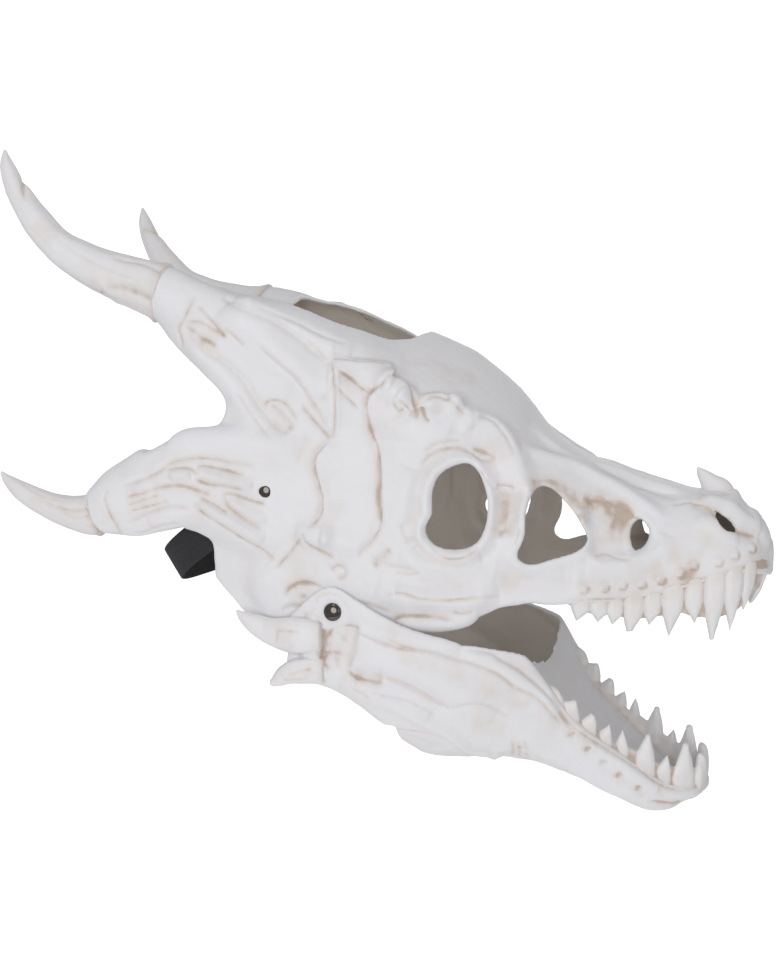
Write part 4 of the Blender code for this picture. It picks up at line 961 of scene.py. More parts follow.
SPUR_LINES = [
    ("groove", 1.0, -0.7, 0.6, 2.0, [(276, 629), (277, 640), (275, 646)]),
    ("groove", 1.0, -0.6, 0.5, 2.0, [(276, 630), (290, 631), (300, 631)]),
    ("wash", 3, 0, 0.7, 5.0, [(280, 642), (294, 642)]),
    ("wash", 3, 0, 0.4, 6.0, [(262, 628), (280, 630)]),
    ("groove", 1.2, -0.8, 0.5, 2.4, [(286, 676), (298, 672), (312, 668)]),
    ("groove", 1.0, -0.6, 0.5, 2.0, [(280, 680), (296, 680), (310, 678)]),
    ("wash", 3, 0, 0.5, 4.0, [(308, 664), (312, 676)]),
]


# ------------------------------------------------------------ skull

room = Room((-132, -136, -120), (346, 0, 176), FINE)
xs = np.concatenate([np.arange(-42, 338, 3.0), [338.0]])
skull_solid = room.field(*loft([whole_ring(skull_half(x)) for x in xs]))
skull_solid = blur(skull_solid, 3)
upper_core = room.field(*loft(tube_rings(UPPER_CORE)))
cheek_core = room.field(*loft(tube_rings(CHEEK_CORE)))
body = join(skull_solid, upper_core, 13.0)
body = join(body, cheek_core, 11.0)

eye_d = plan_field(room, through(EYE, 6, closed=True))
fen_d = plan_field(room, through(FENESTRA, 6, closed=True))
pre_d = plan_field(room, through(PREORBITAL, 5, closed=True))
nos_d = plan_field(room, through(NOSTRIL, 4, closed=True))
rear_d = plan_field(room, REAR)
crown_half = through(CROWN, 6)
crown_d = plan_field(room, [(p[0], -p[1]) for p in crown_half]
                     + [(-130, 30), (91, 30)], "xy")
outer_side = np.clip((-room.y - 30) / 15, 0, 1)

notch = through([(-90, 104), (-69, 100.5), (-50, 84.7), (-38, 74), (-31.5, 63.3), (-33, 52), (-39, 45),
                 (-54, 43.8), (-90, 30)], 6, closed=True)
body = meet(body, -plan_field(room, notch), 5.0)
body = shape_field(room, body, SKULL_FORMS, 15.0, 23.0)

# Rolled rims and the hollows beside them.
body -= outer_side * (2.6 * np.exp(-((eye_d - 3.8) / 3.4) ** 2) - 1.2 * np.exp(-((eye_d - 11) / 3.2) ** 2))
body -= outer_side * 1.0 * np.exp(-((fen_d - 3.4) / 3.2) ** 2)
body -= np.clip((-room.y - 20) / 10, 0, 1) * 1.1 * np.exp(-((pre_d - 3.0) / 2.2) ** 2)

WALL = 3.0
shell = meet(body, -(body + WALL), 0.8)
lower_half = hermite(SKULL, 8, room.x) - WALL
lower_z = hermite(SKULL, 9, room.x)
floor_cut = np.maximum(np.abs(room.y) - lower_half, room.z - (lower_z + 7.0)).astype(np.float32)
floor_cut = np.maximum(floor_cut, room.x - 326.0)
shell = meet(shell, -floor_cut, 1.2)
# Roof of the mouth at the front.
roof_z = -49.5 + (room.x - 290) * math.tan(math.radians(7.0))
roof = np.maximum(np.abs(room.z - roof_z) - 1.6, body + 1.2)
roof = np.maximum(roof, 228.0 - room.x)
shell = join(shell, roof.astype(np.float32), 2.5)
shell = meet(shell, -eye_d, 1.6)
shell = meet(shell, -fen_d, 1.6)
shell = meet(shell, -pre_d, 1.2)
shell = meet(shell, -nos_d, 1.0)
crown_cut = np.maximum(crown_d, 60.0 - room.z)
shell = meet(shell, -crown_cut.astype(np.float32), 1.6)
# Behind the rear edge only the cores go on.
both_cores = np.minimum(upper_core, cheek_core)
core_keep = np.minimum(both_cores - 5.0, np.maximum(both_cores - 15.0, room.y + 86.0))
rear_cut = np.maximum(rear_d, -core_keep)
shell = meet(shell, -rear_cut.astype(np.float32), 1.6)
pivot_d = np.sqrt((room.x - PIVOT[0]) ** 2 + (room.z - PIVOT[1]) ** 2) - 3.0
strap_d = np.sqrt(room.x ** 2 + room.z ** 2) - 3.0
shell = meet(shell, -np.minimum(pivot_d, strap_d).astype(np.float32), 0.5)

print("skull field", room.n, float(shell.min()), float(shell.max()))
solid_points, solid_quads = room.surface(body, every=2)
seen_skull = Seen(solid_points, solid_quads)
points, quads = room.surface(shell)
print("skull surface", len(points), len(quads))


def settle_curvature(points, faces, normals, rounds=2):
    """How hollow the surface is at each point, above 0 in a groove."""
    n = len(points)
    width = faces.shape[1]
    edges = np.concatenate([faces[:, [k, (k + 1) % width]] for k in range(width)])
    count = np.bincount(edges[:, 0], minlength=n) + np.bincount(edges[:, 1], minlength=n)
    total = np.stack([np.bincount(edges[:, 0], points[edges[:, 1], a], minlength=n)
                      + np.bincount(edges[:, 1], points[edges[:, 0], a], minlength=n)
                      for a in range(3)], axis=1)
    off = total / np.maximum(count, 1)[:, None] - points
    hollow = np.einsum("ij,ij->i", off, normals)
    for _ in range(rounds):
        hollow = (hollow + (np.bincount(edges[:, 0], hollow[edges[:, 1]], minlength=n)
                            + np.bincount(edges[:, 1], hollow[edges[:, 0]], minlength=n))
                  / np.maximum(count, 1)) / 2
    return hollow


def normals_any(points, faces):
    if faces.shape[1] == 4:
        return normals_of(points, faces)
    n = np.zeros_like(points)
    a, b, c = (points[faces[:, k]] for k in range(3))
    f = np.cross(b - a, c - a)
    for k in range(3):
        for axis in range(3):
            n[:, axis] += np.bincount(faces[:, k], f[:, axis], minlength=len(points))
    return n / np.maximum(np.linalg.norm(n, axis=1), 1e-9)[:, None]


def relief(points, faces, weight, seen, lines, grain=0.16):
    """The traced lines, then the grain of the surface."""
    normals = normals_any(points, faces)
    move, stain = carve(points, normals, weight, seen, lines)
    move = np.maximum(move, -1.9)
    # The wash took unevenly.
    patchy = np.clip(0.72 + 0.42 * noise(points, 11.0, 12) + 0.34 * noise(points, 4.0, 13), 0.12, 1.25)
    lumps = 0.35 * noise(points, 14.0, 3) + grain * noise(points, 4.5, 5)
    points = points + normals * (move + lumps * weight)[:, None]
    normals = normals_any(points, faces)
    hollow = settle_curvature(points, faces, normals)
    return points, normals, np.clip(stain, 0, 1.0) * patchy, hollow


def coarser(points, quads, deep, size, *values):
    """Triangles, with the points marked deep gathered into a coarser lattice."""
    tris = np.concatenate([quads[:, [0, 1, 2]], quads[:, [0, 2, 3]]])
    key = np.arange(len(points), dtype=np.int64)
    cell = np.floor(points[deep] / size).astype(np.int64) + 500
    code = (cell[:, 0] * 2000 + cell[:, 1]) * 2000 + cell[:, 2] + len(points) + 10
    key[deep] = code
    unique, index = np.unique(key, return_inverse=True)
    count = np.bincount(index)
    merged = np.stack([np.bincount(index, points[:, a]) / count for a in range(3)], axis=1)
    tris = index.reshape(-1)[tris]
    tris = tris[(tris[:, 0] != tris[:, 1]) & (tris[:, 1] != tris[:, 2]) & (tris[:, 0] != tris[:, 2])]
    # A pair of faces on the same three points is a flap: both go.
    order = np.sort(tris, axis=1).astype(np.int64)
    code = (order[:, 0] * len(unique) + order[:, 1]) * len(unique) + order[:, 2]
    _, place, times = np.unique(code, return_inverse=True, return_counts=True)
    tris = tris[times[place.reshape(-1)] == 1]
    gathered = np.zeros(len(unique), dtype=bool)
    gathered[index.reshape(-1)[deep]] = True
    a = np.concatenate([tris[:, 0], tris[:, 1], tris[:, 2]])
    b = np.concatenate([tris[:, 1], tris[:, 2], tris[:, 0]])
    n = len(unique)
    beside = np.maximum(np.bincount(a, minlength=n) + np.bincount(b, minlength=n), 1)
    for _ in range(4):
        mean = np.stack([(np.bincount(a, merged[b, k], minlength=n) + np.bincount(b, merged[a, k], minlength=n))
                         / beside for k in range(3)], axis=1)
        merged[gathered] += 0.5 * (mean - merged)[gathered]
    out = []
    for v in values:
        if v.ndim == 1:
            out.append(np.bincount(index, v) / count)
        else:
            w = np.stack([np.bincount(index, v[:, a]) / count for a in range(3)], axis=1)
            length = np.linalg.norm(w, axis=1)[:, None]
            # Where the gathered normals disagree, the new faces decide.
            out.append(np.where(length > 0.75, w / np.maximum(length, 1e-9), normals_any(merged, tris)))
    return merged, tris, out


def flexed(points):
    """The thin shell is a little out of true: the left of the crown stands
    higher than the right, and the left upper horn hangs lower."""
    x, y, z = points.T

    def ease(t):
        t = np.clip(t, 0, 1)
        return t * t * (3 - 2 * t)

    high = ease((z - 60) / 50)
    lift = 0.045 * y * high * ease((110 - x) / 60) * ease((x + 100) / 60)
    hang = 12.0 * high * ease((y - 45) / 35) * np.clip((-x - 45) / 150, 0, 1.1)
    out = points.copy()
    out[:, 2] += lift - hang
    return out


def halves(name, points, tris, normals, attributes, spec, body, nodes):
    """Right and left pieces of one surface, with its normals, so no seam shows."""
    if name == "skull":
        points = flexed(points)
    middle = points[tris][:, :, 1].mean(1)
    keys = list(attributes)
    for label, pick in (("right", middle < 0), ("left", middle >= 0)):
        p, f, values = part_of(points, tris, pick, normals, *[attributes[k] for k in keys])
        put(f"{name}_{label}", p, f, spec, body, nodes,
            dict(zip(keys, values[1:])), values[0])
        print(name, label, len(f))


# ------------------------------------------------------------ skull pieces

at_body = room.sample(body, points)
weight = np.clip((at_body + 1.9) / 1.1, 0, 1)
weight = weight * weight * (3 - 2 * weight)
# Faces inside the wall take the darker inside colour: painted shade.
inner_painted_shade = np.clip((-at_body - 1.3) / 1.2, 0, 1)
deep = at_body < -2.3
# The hinge faces stay flat, so that the jaw clears them.
clear = np.clip((np.hypot(points[:, 0] - PIVOT[0], points[:, 2] - PIVOT[1]) - 15) / 8, 0, 1)
sculpt = weight * np.clip(clear, 0.0, 1)
soft_body = blur(body, 8)
cavity = np.clip(-room.sample(soft_body, points) / 1.6, 0, 1) * weight
points, normals, stain, hollow = relief(points, quads, sculpt, seen_skull, SKULL_LINES)
stain = stain + 0.16 * cavity + np.clip(hollow * 2.6, 0, 0.3) * weight
# The deep inner faces are gathered into a coarser lattice.
points2, tris, (normals2, stain2, inner_painted_shade2) = coarser(points, quads, deep, FINE * 3.1, normals, stain, inner_painted_shade)
halves("skull", points2, tris, normals2, {"stain": stain2, "inner_painted_shade": inner_painted_shade2}, bone, "skull",
       ["skull_shell"])

# ------------------------------------------------------------ jaw pieces

jroom = Room((8, -118, -240), (306, 0, -52), FINE)
xs = np.concatenate([np.arange(16, 297, 2.5), [297.5]])
jaw_solid = blur(jroom.field(*loft([whole_ring(jaw_half(x)) for x in xs])), 2)
jaw_body = shape_field(jroom, jaw_solid, JAW_FORMS, 9.0, 14.0)
shell = meet(jaw_body, -(jaw_body + WALL), 0.8)
top_half = hermite(JAW, 1, jroom.x) - WALL
top_z = hermite(JAW, 2, jroom.x)
top_cut = np.maximum(np.abs(jroom.y) - top_half, (top_z - 8.0) - jroom.z)
top_cut = np.maximum(top_cut, jroom.x - 291.0).astype(np.float32)
shell = meet(shell, -top_cut, 1.2)
rear_open = np.maximum(np.abs(jroom.y) - (RAMUS_Y - WALL), jroom.x - 30.0) + 0 * jroom.z
shell = meet(shell, -rear_open.astype(np.float32), 1.2)
throat_d = plan_field(jroom, [(-20, -56), (84, -60), (88, -100), (91, -215), (-20, -215)])
throat_cut = np.maximum(throat_d, np.abs(jroom.y) - 97.0)
shell = meet(shell, -throat_cut.astype(np.float32), 1.4)
share = np.clip(np.abs(jroom.y) / np.maximum(hermite(JAW, 1, jroom.x), 1.0), 0, 1)
floor_z = top_z - 3.0 - 10.0 * (1 - share ** 2)
floor = np.maximum(np.abs(jroom.z - floor_z) - 1.4, jaw_body + 1.0)
rear_line = 177.0 + 4.0 * (1 - share ** 2)
floor = np.maximum(floor, rear_line - jroom.x).astype(np.float32)
shell = join(shell, floor, 3.0)
pivot_d = (np.sqrt((jroom.x - PIVOT[0]) ** 2 + (jroom.z - PIVOT[1]) ** 2) - 3.0)
shell = meet(shell, -pivot_d.astype(np.float32), 0.5)
seen_jaw = Seen(*jroom.surface(jaw_body, every=2))
points, quads = jroom.surface(shell)
print("jaw surface", len(points), len(quads))
at_body = jroom.sample(jaw_body, points)
weight = np.clip((at_body + 1.9) / 1.1, 0, 1)
weight = weight * weight * (3 - 2 * weight)
# Faces inside the wall take the darker inside colour: painted shade.
inner_painted_shade = np.clip((-at_body - 1.3) / 1.2, 0, 1)
above = np.clip((points[:, 2] - (np.asarray(hermite(JAW, 2, points[:, 0])) - 20)) / 6, 0, 1) \
    * np.clip((points[:, 0] - 176) / 4, 0, 1)
inner_painted_shade = inner_painted_shade * (1 - above)
clear = np.clip((np.hypot(points[:, 0] - PIVOT[0], points[:, 2] - PIVOT[1]) - 9) / 5, 0, 1)
outside = np.abs(points[:, 1]) > 30
sculpt = weight * clear
edge = (np.abs(points[:, 0] - 178) < 5) & (points[:, 2] > np.asarray(hermite(JAW, 2, points[:, 0])) - 26)
deep = (at_body < -2.3) & (above < 0.5) & ~edge
soft_body = blur(jaw_body, 8)
cavity = np.clip(-jroom.sample(soft_body, points) / 1.6, 0, 1) * weight
points, normals, stain, hollow = relief(points, quads, sculpt, seen_jaw, JAW_LINES)
stain = stain + 0.14 * cavity + np.clip(hollow * 2.6, 0, 0.3) * weight
points2, tris, (normals2, stain2, inner_painted_shade2) = coarser(points, quads, deep, FINE * 3.1, normals, stain, inner_painted_shade)
halves("jaw", points2, tris, normals2, {"stain": stain2, "inner_painted_shade": inner_painted_shade2}, bone, "jaw",
       ["jaw_shell"])

# ------------------------------------------------------------ horns


def horn(name, table, lines, body, nodes, sides=88, per_span=20, root_stain=0.4, forms=(), ridged=0.0):
    """A horn sheath on the right, traced and carved, and its mirror image."""
    rings = tube_rings(table, sides, per_span)
    # A round root: one more ring, drawn in, ahead of the first.
    first = rings[0]
    back = first.mean(0) - rings[3].mean(0)
    back /= np.linalg.norm(back)
    rings = [first.mean(0) + back * 2.6 + (first - first.mean(0)) * 0.84,
             first.mean(0) + back * 0.9 + (first - first.mean(0)) * 0.985] + rings
    last = rings[-1]
    out = last.mean(0) - rings[-4].mean(0)
    out = out / np.linalg.norm(out)
    tip_r = np.linalg.norm(last - last.mean(0), axis=1).mean()
    for a in (0.35, 0.7, 0.92):
        rings.append(last.mean(0) + (last - last.mean(0)) * math.cos(a * math.pi / 2)
                     + out * tip_r * math.sin(a * math.pi / 2))
    points, tris = loft(rings)
    normals = normals_any(points, tris)
    if np.einsum("ij,ij->i", points - points.mean(0), normals).sum() < 0:
        tris = tris[:, ::-1]
    along = np.repeat(np.linspace(0, 1, len(rings)), sides)
    along = np.concatenate([along, [0, 1]])
    around = np.concatenate([np.tile(np.arange(sides) * 2 * math.pi / sides, len(rings)), [0, 0]])
    seen = Seen(points, tris)
    weight = np.clip(along / 0.01, 0.15, 1)
    if ridged:
        normals = normals_any(points, tris)
        rng = np.random.default_rng(7)
        wave = sum(a * np.cos(k * around + rng.uniform(0, 6.3) + 2.0 * along)
                   for k, a in ((3, 0.6), (5, 0.45), (8, 0.3), (13, 0.2)))
        points = points + normals * (ridged * wave * weight * (1 - 0.7 * along))[:, None]
    points, normals, stain, hollow = relief(points, tris, weight, seen, lines, 0.12)
    stain = stain + root_stain * np.clip(1 - along / 0.10, 0, 1) + np.clip(hollow * 3, 0, 0.25)
    inner_painted_shade = np.zeros(len(points))
    for label, side in (("right", 1), ("left", -1)):
        flip = np.array([1, side, 1])
        shape = points * flip
        if name == "upper_horn_sheath":
            shape = flexed(shape)
        put(f"{name}_{label}", shape, tris if side > 0 else tris[:, ::-1], horned, body,
            [n for n in nodes if n.endswith(label)],
            {"stain": stain, "inner_painted_shade": inner_painted_shade}, normals * flip)
    print(name, len(tris))


horn("upper_horn_sheath", UPPER_HORN, HORN_LINES, "skull", ["upper_horn_right", "upper_horn_left"], ridged=0.5)
horn("cheek_horn_sheath", CHEEK_HORN, CHEEK_LINES, "skull", ["cheek_horn_right", "cheek_horn_left"], ridged=0.3)
horn("spur_upper", UPPER_SPUR, SPUR_LINES, "jaw", ["jaw_spur_upper_right", "jaw_spur_upper_left"], 56, 12, ridged=0.2)
horn("spur_lower", LOWER_SPUR, SPUR_LINES, "jaw", ["jaw_spur_lower_right", "jaw_spur_lower_left"], 56, 12, ridged=0.2)


def nose():
    rings = tube_rings(NOSE_HORN, 48, 12)
    last = rings[-1]
    for a in (0.5, 0.9):
        rings.append(last.mean(0) + (last - last.mean(0)) * math.cos(a * math.pi / 2)
                     + np.array([-0.5, 0, 1.0]) * 1.2 * math.sin(a * math.pi / 2))
    points, tris = loft(rings)
    normals = normals_any(points, tris)
    if np.einsum("ij,ij->i", points - points.mean(0), normals).sum() < 0:
        tris = tris[:, ::-1]
    normals = normals_any(points, tris)
    points = points + normals * (0.3 * noise(points, 5.0, 4))[:, None]
    normals = normals_any(points, tris)
    stain = np.clip((4.0 - points[:, 2]) / 8.0, 0, 1) * 0.5
    put("nose_horn_sheath", points, tris, horned, "skull", ["nose_horn"],
        {"stain": stain, "inner_painted_shade": np.zeros(len(points))}, normals)


nose()

# ------------------------------------------------------------ teeth


def on_row(px, py, table, column, inset):
    """The picture place on the upright surface that follows a tooth row."""
    y = -40.0
    for _ in range(8):
        d = ray(px, py)
        t = (y - EYE_AT[1]) / d[1]
        hit = EYE_AT + d * t
        y = -float(max(hermite(table, column, hit[0]) - inset, 0.0))
    return hit


# Each tooth: its left and right valleys and its tip, or the two ends of a worn tip.
UPPER_ROW = [
    ((570, 603), (576, 621.5), (590.3, 609)), ((589.5, 609), (597.5, 622.3), (607.5, 611)),
    ((606.8, 611), (612, 625.3), (622.8, 612)), ((623, 611), (626.5, 631.5), (632.5, 631), (643.5, 611)),
    ((643, 610), (649, 625.4), (661, 609)), ((661.5, 607), (668.6, 637.5), (683, 605)),
    ((684.5, 603), (694.8, 624.5), (702.5, 600)), ((703.5, 600), (710, 640), (714, 639.5), (724.5, 598)),
    ((724, 598), (730.5, 631), (741.8, 592)), ((741, 592), (746.5, 611.5), (754.5, 586)),
]
UPPER_WEB = [(566, 602), (571, 605), (580, 611), (590, 613.5), (606.5, 615), (622, 617), (642, 618.5),
             (661, 616), (682.4, 613), (692, 617), (703, 618), (723, 617), (740, 610)]
LOWER_ROW = [
    ((541, 690), (551, 685), (558, 689), (563.5, 699)), ((563.5, 702), (573, 699.5), (576, 700.5), (579.3, 719)),
    ((580, 722), (590, 712.6), (594.5, 715), (596.5, 728)), ((597, 734), (609.2, 723.6), (611.8, 742)),
    ((616, 744), (622.4, 728), (628, 750)), ((634.5, 757), (646, 734), (650, 734.5), (654.6, 765)),
    ((655.5, 770), (666.8, 753.6), (670.3, 775)), ((671, 775), (683.5, 743.5), (688, 743.5), (693, 777)),
    ((693, 775), (700, 753.5), (704, 753.5), (707, 770)),
]
LOWER_WEB = [(536, 676), (545, 690), (556, 698), (563.5, 704), (579, 719), (596, 729), (613, 742), (631, 748),
             (643, 754), (655, 761), (670, 766), (693, 767), (704, 764)]


def tooth_shape(left, tip, right, root):
    """The outline of a tooth from its valleys to its tip, and down into the gum."""
    left, right = np.array(left, float), np.array(right, float)
    tip = [np.array(t, float) for t in tip]
    first, last = tip[0], tip[-1]
    swell = np.array([0.55, 0.0])
    pts = [np.array([left[0] + 0.8, root]), left,
           left + (first - left) * 0.5 - swell * 0.6, left + (first - left) * 0.86]
    pts += tip
    pts += [right + (last - right) * 0.86, right + (last - right) * 0.5 + swell, right,
            np.array([right[0] - 0.8, root])]
    return pts


def teeth(name, box_low, box_high, table, column, z_column, row, web, down, inset, body, nodes,
          x0, x1, front_x, fronts, lean):
    h = 0.62
    troom = Room(box_low, box_high, h)
    sign = -1.0 if down else 1.0
    xs = np.linspace(x0, x1, 160)
    ys = -(hermite(table, column, xs) - inset)
    zs = hermite(table, z_column, xs)
    keep = ys < -2.0
    line = np.stack([xs[keep], ys[keep], zs[keep]], axis=1)
    end = np.array([front_x, 0.0, line[-1][2]])
    bend = through([line[-1], (line[-1] + end) / 2 + np.array([1.6, 0, 0]), end], 14)[1:]
    line = np.concatenate([line, bend])
    steps = np.linalg.norm(np.diff(line[:, :2], axis=0), axis=1)
    place = np.concatenate([[0], np.cumsum(steps)])
    total = place[-1]
    way = np.gradient(line[:, :2], axis=0)
    way /= np.linalg.norm(way, axis=1)[:, None]

    def near(x, y):
        """Place along the row and distance out from it, for points in plan."""
        best = np.full(x.shape, 1e9)
        along = np.zeros(x.shape)
        out = np.zeros(x.shape)
        for k in range(len(line) - 1):
            ex, ey = line[k + 1][:2] - line[k][:2]
            size = math.hypot(ex, ey)
            t = ((x - line[k][0]) * ex + (y - line[k][1]) * ey) / (size * size)
            t = np.clip(t, 0, 1)
            dx, dy = x - line[k][0] - t * ex, y - line[k][1] - t * ey
            d = dx * dx + dy * dy
            better = d < best
            best = np.where(better, d, best)
            along = np.where(better, place[k] + t * size, along)
            out = np.where(better, (dx * ey - dy * ex) / size, out)
        return along, np.sign(out + 1e-9) * np.sqrt(best)

    def spot(px, py):
        hit = on_row(px, py, table, column, inset)
        along, _ = near(np.array([hit[0]]), np.array([hit[1]]))
        lip = np.interp(along[0], place, line[:, 2])
        return along[0], (hit[2] - lip) * sign

    # Shapes on the unrolled row: place along it, and height from the lip.
    fine = 0.4
    s_axis = np.arange(-8.0, total + 8.0, fine)
    h_axis = np.arange(-6.0, 62.0, fine)
    gs, gh = np.meshgrid(s_axis, h_axis, indexing="ij")
    shapes = []
    for tooth in row:
        left, tip, right = spot(*tooth[0]), [spot(*t) for t in tooth[1:-1]], spot(*tooth[-1])
        shapes.append(tooth_shape(left, tip, right, -5.0))
    for middle, width, length, shift in fronts:
        at = total - middle
        root = 0.42 * length
        shapes.append(tooth_shape((at - width / 2, root), [(at + shift - 0.8, length), (at + shift + 0.8, length)],
                                  (at + width / 2, root), -5.0))
    thick = np.full(gs.shape, -30.0)
    for pts in shapes:
        outline = through(pts, 4, closed=True)
        outline[:, 1] = np.maximum(outline[:, 1], -5.5)
        inside = -outline_distance(outline, gs, gh)
        wide = 0.5 * (max(p[0] for p in pts) - min(p[0] for p in pts))
        round_to = 0.8 * wide
        t = np.clip(inside / round_to, 0, 1)
        full = np.clip(0.62 * wide, 1.8, 4.0) * np.sqrt(1 - (1 - t) ** 2)
        thick = np.maximum(thick, np.where(inside > 0, full, inside))
    edge = [spot(*p) for p in web]
    edge = [p for p in edge if p[0] > 0.5]
    edge += [(total - m, 0.5 * l) for m, _, l, _ in fronts] + [(total + 8.0, 0.5 * fronts[-1][2])]
    edge = sorted(edge)
    web_top = np.interp(s_axis, [p[0] for p in edge], [p[1] for p in edge])
    web_in = np.minimum(web_top[:, None] - gh, (gs - edge[0][0]) + 2.0)
    web_thick = np.where(web_in > 0, 1.9 * np.sqrt(1 - (1 - np.clip(web_in / 2.2, 0, 1)) ** 2)
                         + np.clip(4.0 - gh, 0, 4) * 0.35, web_in)

    px, py = np.meshgrid(troom.x.ravel(), troom.y.ravel(), indexing="ij")
    along, out = near(px, py)
    lip = np.interp(along, place, line[:, 2])
    up = (troom.z - lip[:, :, None]) * sign
    i = (along[:, :, None] - s_axis[0]) / fine + 0 * up
    j = np.clip((up - h_axis[0]) / fine, 0, len(h_axis) - 1.01)
    i = np.clip(i, 0, len(s_axis) - 1.01)
    i0, j0 = i.astype(int), j.astype(int)
    fi, fj = i - i0, j - j0

    def look(values):
        return ((values[i0, j0] * (1 - fi) + values[i0 + 1, j0] * fi) * (1 - fj)
                + (values[i0, j0 + 1] * (1 - fi) + values[i0 + 1, j0 + 1] * fi) * fj)

    tilt = lean[0] + (lean[1] - lean[0]) * np.clip((along - (total - 45.0)) / 38.0, 0, 1)
    rise = np.clip(up, 0, 60)
    offset = out[:, :, None] + tilt[:, :, None] * rise - 0.9 * np.sin(np.clip(rise / 26.0, 0, 1) * math.pi)
    below = np.maximum(-4.5 - up, 0)
    f_teeth = np.abs(offset) - look(thick) + below
    f_web = np.abs(offset + 0.9) - look(web_thick) + below
    field = join(f_teeth, f_web, 0.7).astype(np.float32)
    points, quads = troom.surface(field)
    gum = troom.sample((f_web - f_teeth).astype(np.float32), points)
    normals = normals_of(points, quads)
    # A light smoothing takes the steps off the slopes.
    n = len(points)
    edges = np.concatenate([quads[:, [k, (k + 1) % 4]] for k in range(4)])
    count = np.bincount(edges[:, 0], minlength=n) + np.bincount(edges[:, 1], minlength=n)
    for _ in range(2):
        mean = np.stack([np.bincount(edges[:, 0], points[edges[:, 1], a], minlength=n)
                         + np.bincount(edges[:, 1], points[edges[:, 0], a], minlength=n)
                         for a in range(3)], axis=1) / np.maximum(count, 1)[:, None]
        points = points + 0.5 * (mean - points)
    points = points + normals * (0.14 * noise(points, 3.0, 8))[:, None]
    normals = normals_of(points, quads)
    hollow = settle_curvature(points, quads, normals, 3)
    lip_z = np.interp(points[:, 0], line[:, 0], line[:, 2])
    reach = (points[:, 2] - lip_z) * sign
    patchy = np.clip(1.1 + 0.6 * noise(points, 6.0, 14), 0.3, 1.7)
    outer = np.clip(0.5 + normals[:, 1] * -np.sign(points[:, 1]) * -1.2, 0, 1)
    stain = (np.clip(hollow * 5.0, 0, 0.6) + 0.75 * np.clip(0.5 - gum / 1.6, 0, 1)
             + 0.3 * np.clip(1 - reach / 9.0, 0, 1)) * patchy * (0.35 + 0.65 * outer)
    tris = np.concatenate([quads[:, [0, 1, 2]], quads[:, [0, 2, 3]]])
    halves(name, points, tris, normals, {"stain": stain, "inner_painted_shade": np.zeros(len(points))}, ivory, body,
           nodes)


teeth("upper_tooth_row", (190, -80, -114), (344, 0, -40), SKULL, 8, 9, UPPER_ROW, UPPER_WEB, True, 4.4, "skull",
      ["upper_teeth"], 203, 331, 332.5,
      [(13.6, 9.2, 27.0, 0.3), (4.6, 9.0, 25.0, 0.2)], (0.04, 0.42))
teeth("lower_tooth_row", (172, -88, -222), (306, 0, -92), JAW, 1, 2, LOWER_ROW, LOWER_WEB, False, 4.2, "jaw",
      ["lower_teeth"], 181, 290, 292.5,
      [(11.0, 8.4, 20.0, 0.2), (3.8, 7.4, 18.0, 0.2)], (-0.02, 0.02))

# ------------------------------------------------------------ rivets


def rivet(name, x, z, face, inside, side, body):
    r, s, w = CAP_D / 2, 2.5, 5.5
    out, inn = face + 0.3, inside - 0.3
    profile = [(r * math.sin(t), out + 0.5 + (CAP_H - 0.5) * math.cos(t))
               for t in np.linspace(0, math.pi / 2, 18)]
    profile += [(r + 0.05, out + 0.25), (r - 0.15, out), (s, out), (s, inn), (w, inn), (w + 0.1, inn - 0.6),
                (w - 0.2, inn - 1.2), (0.0, inn - 1.2)]
    sides = 56
    rings = []
    for rr, yy in profile:
        turn = np.linspace(0, 2 * math.pi, sides, endpoint=False)
        rings.append(np.stack([x + rr * np.cos(turn), np.full(sides, side * yy), z + rr * np.sin(turn)], axis=1))
    points, tris = loft(rings)
    normals = normals_any(points, tris)
    if np.einsum("ij,ij->i", points - points.mean(0), normals).sum() < 0:
        tris = tris[:, ::-1]
    obj = put(name + "_cap", points, tris, nickel, body, [name])
    obj.data.set_sharp_from_angle(angle=math.radians(40))
    return obj


strap_y = TEMPLE_Y - 3.4 - 0.3 - STRAP_T / 2
for label, side in (("right", -1), ("left", 1)):
    rivet(f"pivot_rivet_{label}", *PIVOT, RAMUS_Y, CHEEK_Y - 3.0, side, "skull")
    rivet(f"strap_rivet_{label}", 0.0, 0.0, TEMPLE_Y, strap_y - STRAP_T / 2, side, "skull")

# ------------------------------------------------------------ strap

path = [(14.0, -strap_y), (0.0, -strap_y), (-16.0, -strap_y)]
for t in np.linspace(0.22, math.pi / 2, 13):
    path.append((-16.0 - (STRAP_REACH - 16.0) * math.sin(t) ** 0.9, -strap_y * abs(math.cos(t)) ** 0.62))
path[-1] = (-STRAP_REACH, 0.0)
path += [(p[0], -p[1]) for p in reversed(path[:-1])]
path = through(path, 3)
tilt = np.array(Matrix.Rotation(-STRAP_DROP, 3, "Y"))
ribs = 11
rows = []
across_n = 61
for k, p in enumerate(path):
    a, b = path[max(k - 1, 0)], path[min(k + 1, len(path) - 1)]
    along = np.array([b[0] - a[0], b[1] - a[1]])
    along /= np.linalg.norm(along)
    side = np.array([-along[1], along[0]])
    v = np.linspace(-1, 1, across_n)
    rib = 0.22 * np.abs(np.sin(v * ribs * math.pi / 2))
    edge = STRAP_T / 2 * np.clip((1 - np.abs(v)) / 0.05, 0, 1) ** 0.5
    thick = np.maximum(edge - 0.24 + rib, 0.05)
    outer = np.stack([p[0] + side[0] * thick, p[1] + side[1] * thick, v * STRAP_W / 2], axis=1)
    inner = np.stack([p[0] - side[0] * thick, p[1] - side[1] * thick, v * STRAP_W / 2], axis=1)[::-1]
    rows.append(np.concatenate([outer, inner]) @ tilt.T)
points, tris = loft(rows)
normals = normals_any(points, tris)
volume = np.einsum("ij,ij->i", points[tris[:, 0]], np.cross(points[tris[:, 1]], points[tris[:, 2]])).sum()
if volume < 0:
    tris = tris[:, ::-1]
put("strap_elastic", points, tris, elastic, "skull", ["strap"])

# ------------------------------------------------------------ stage


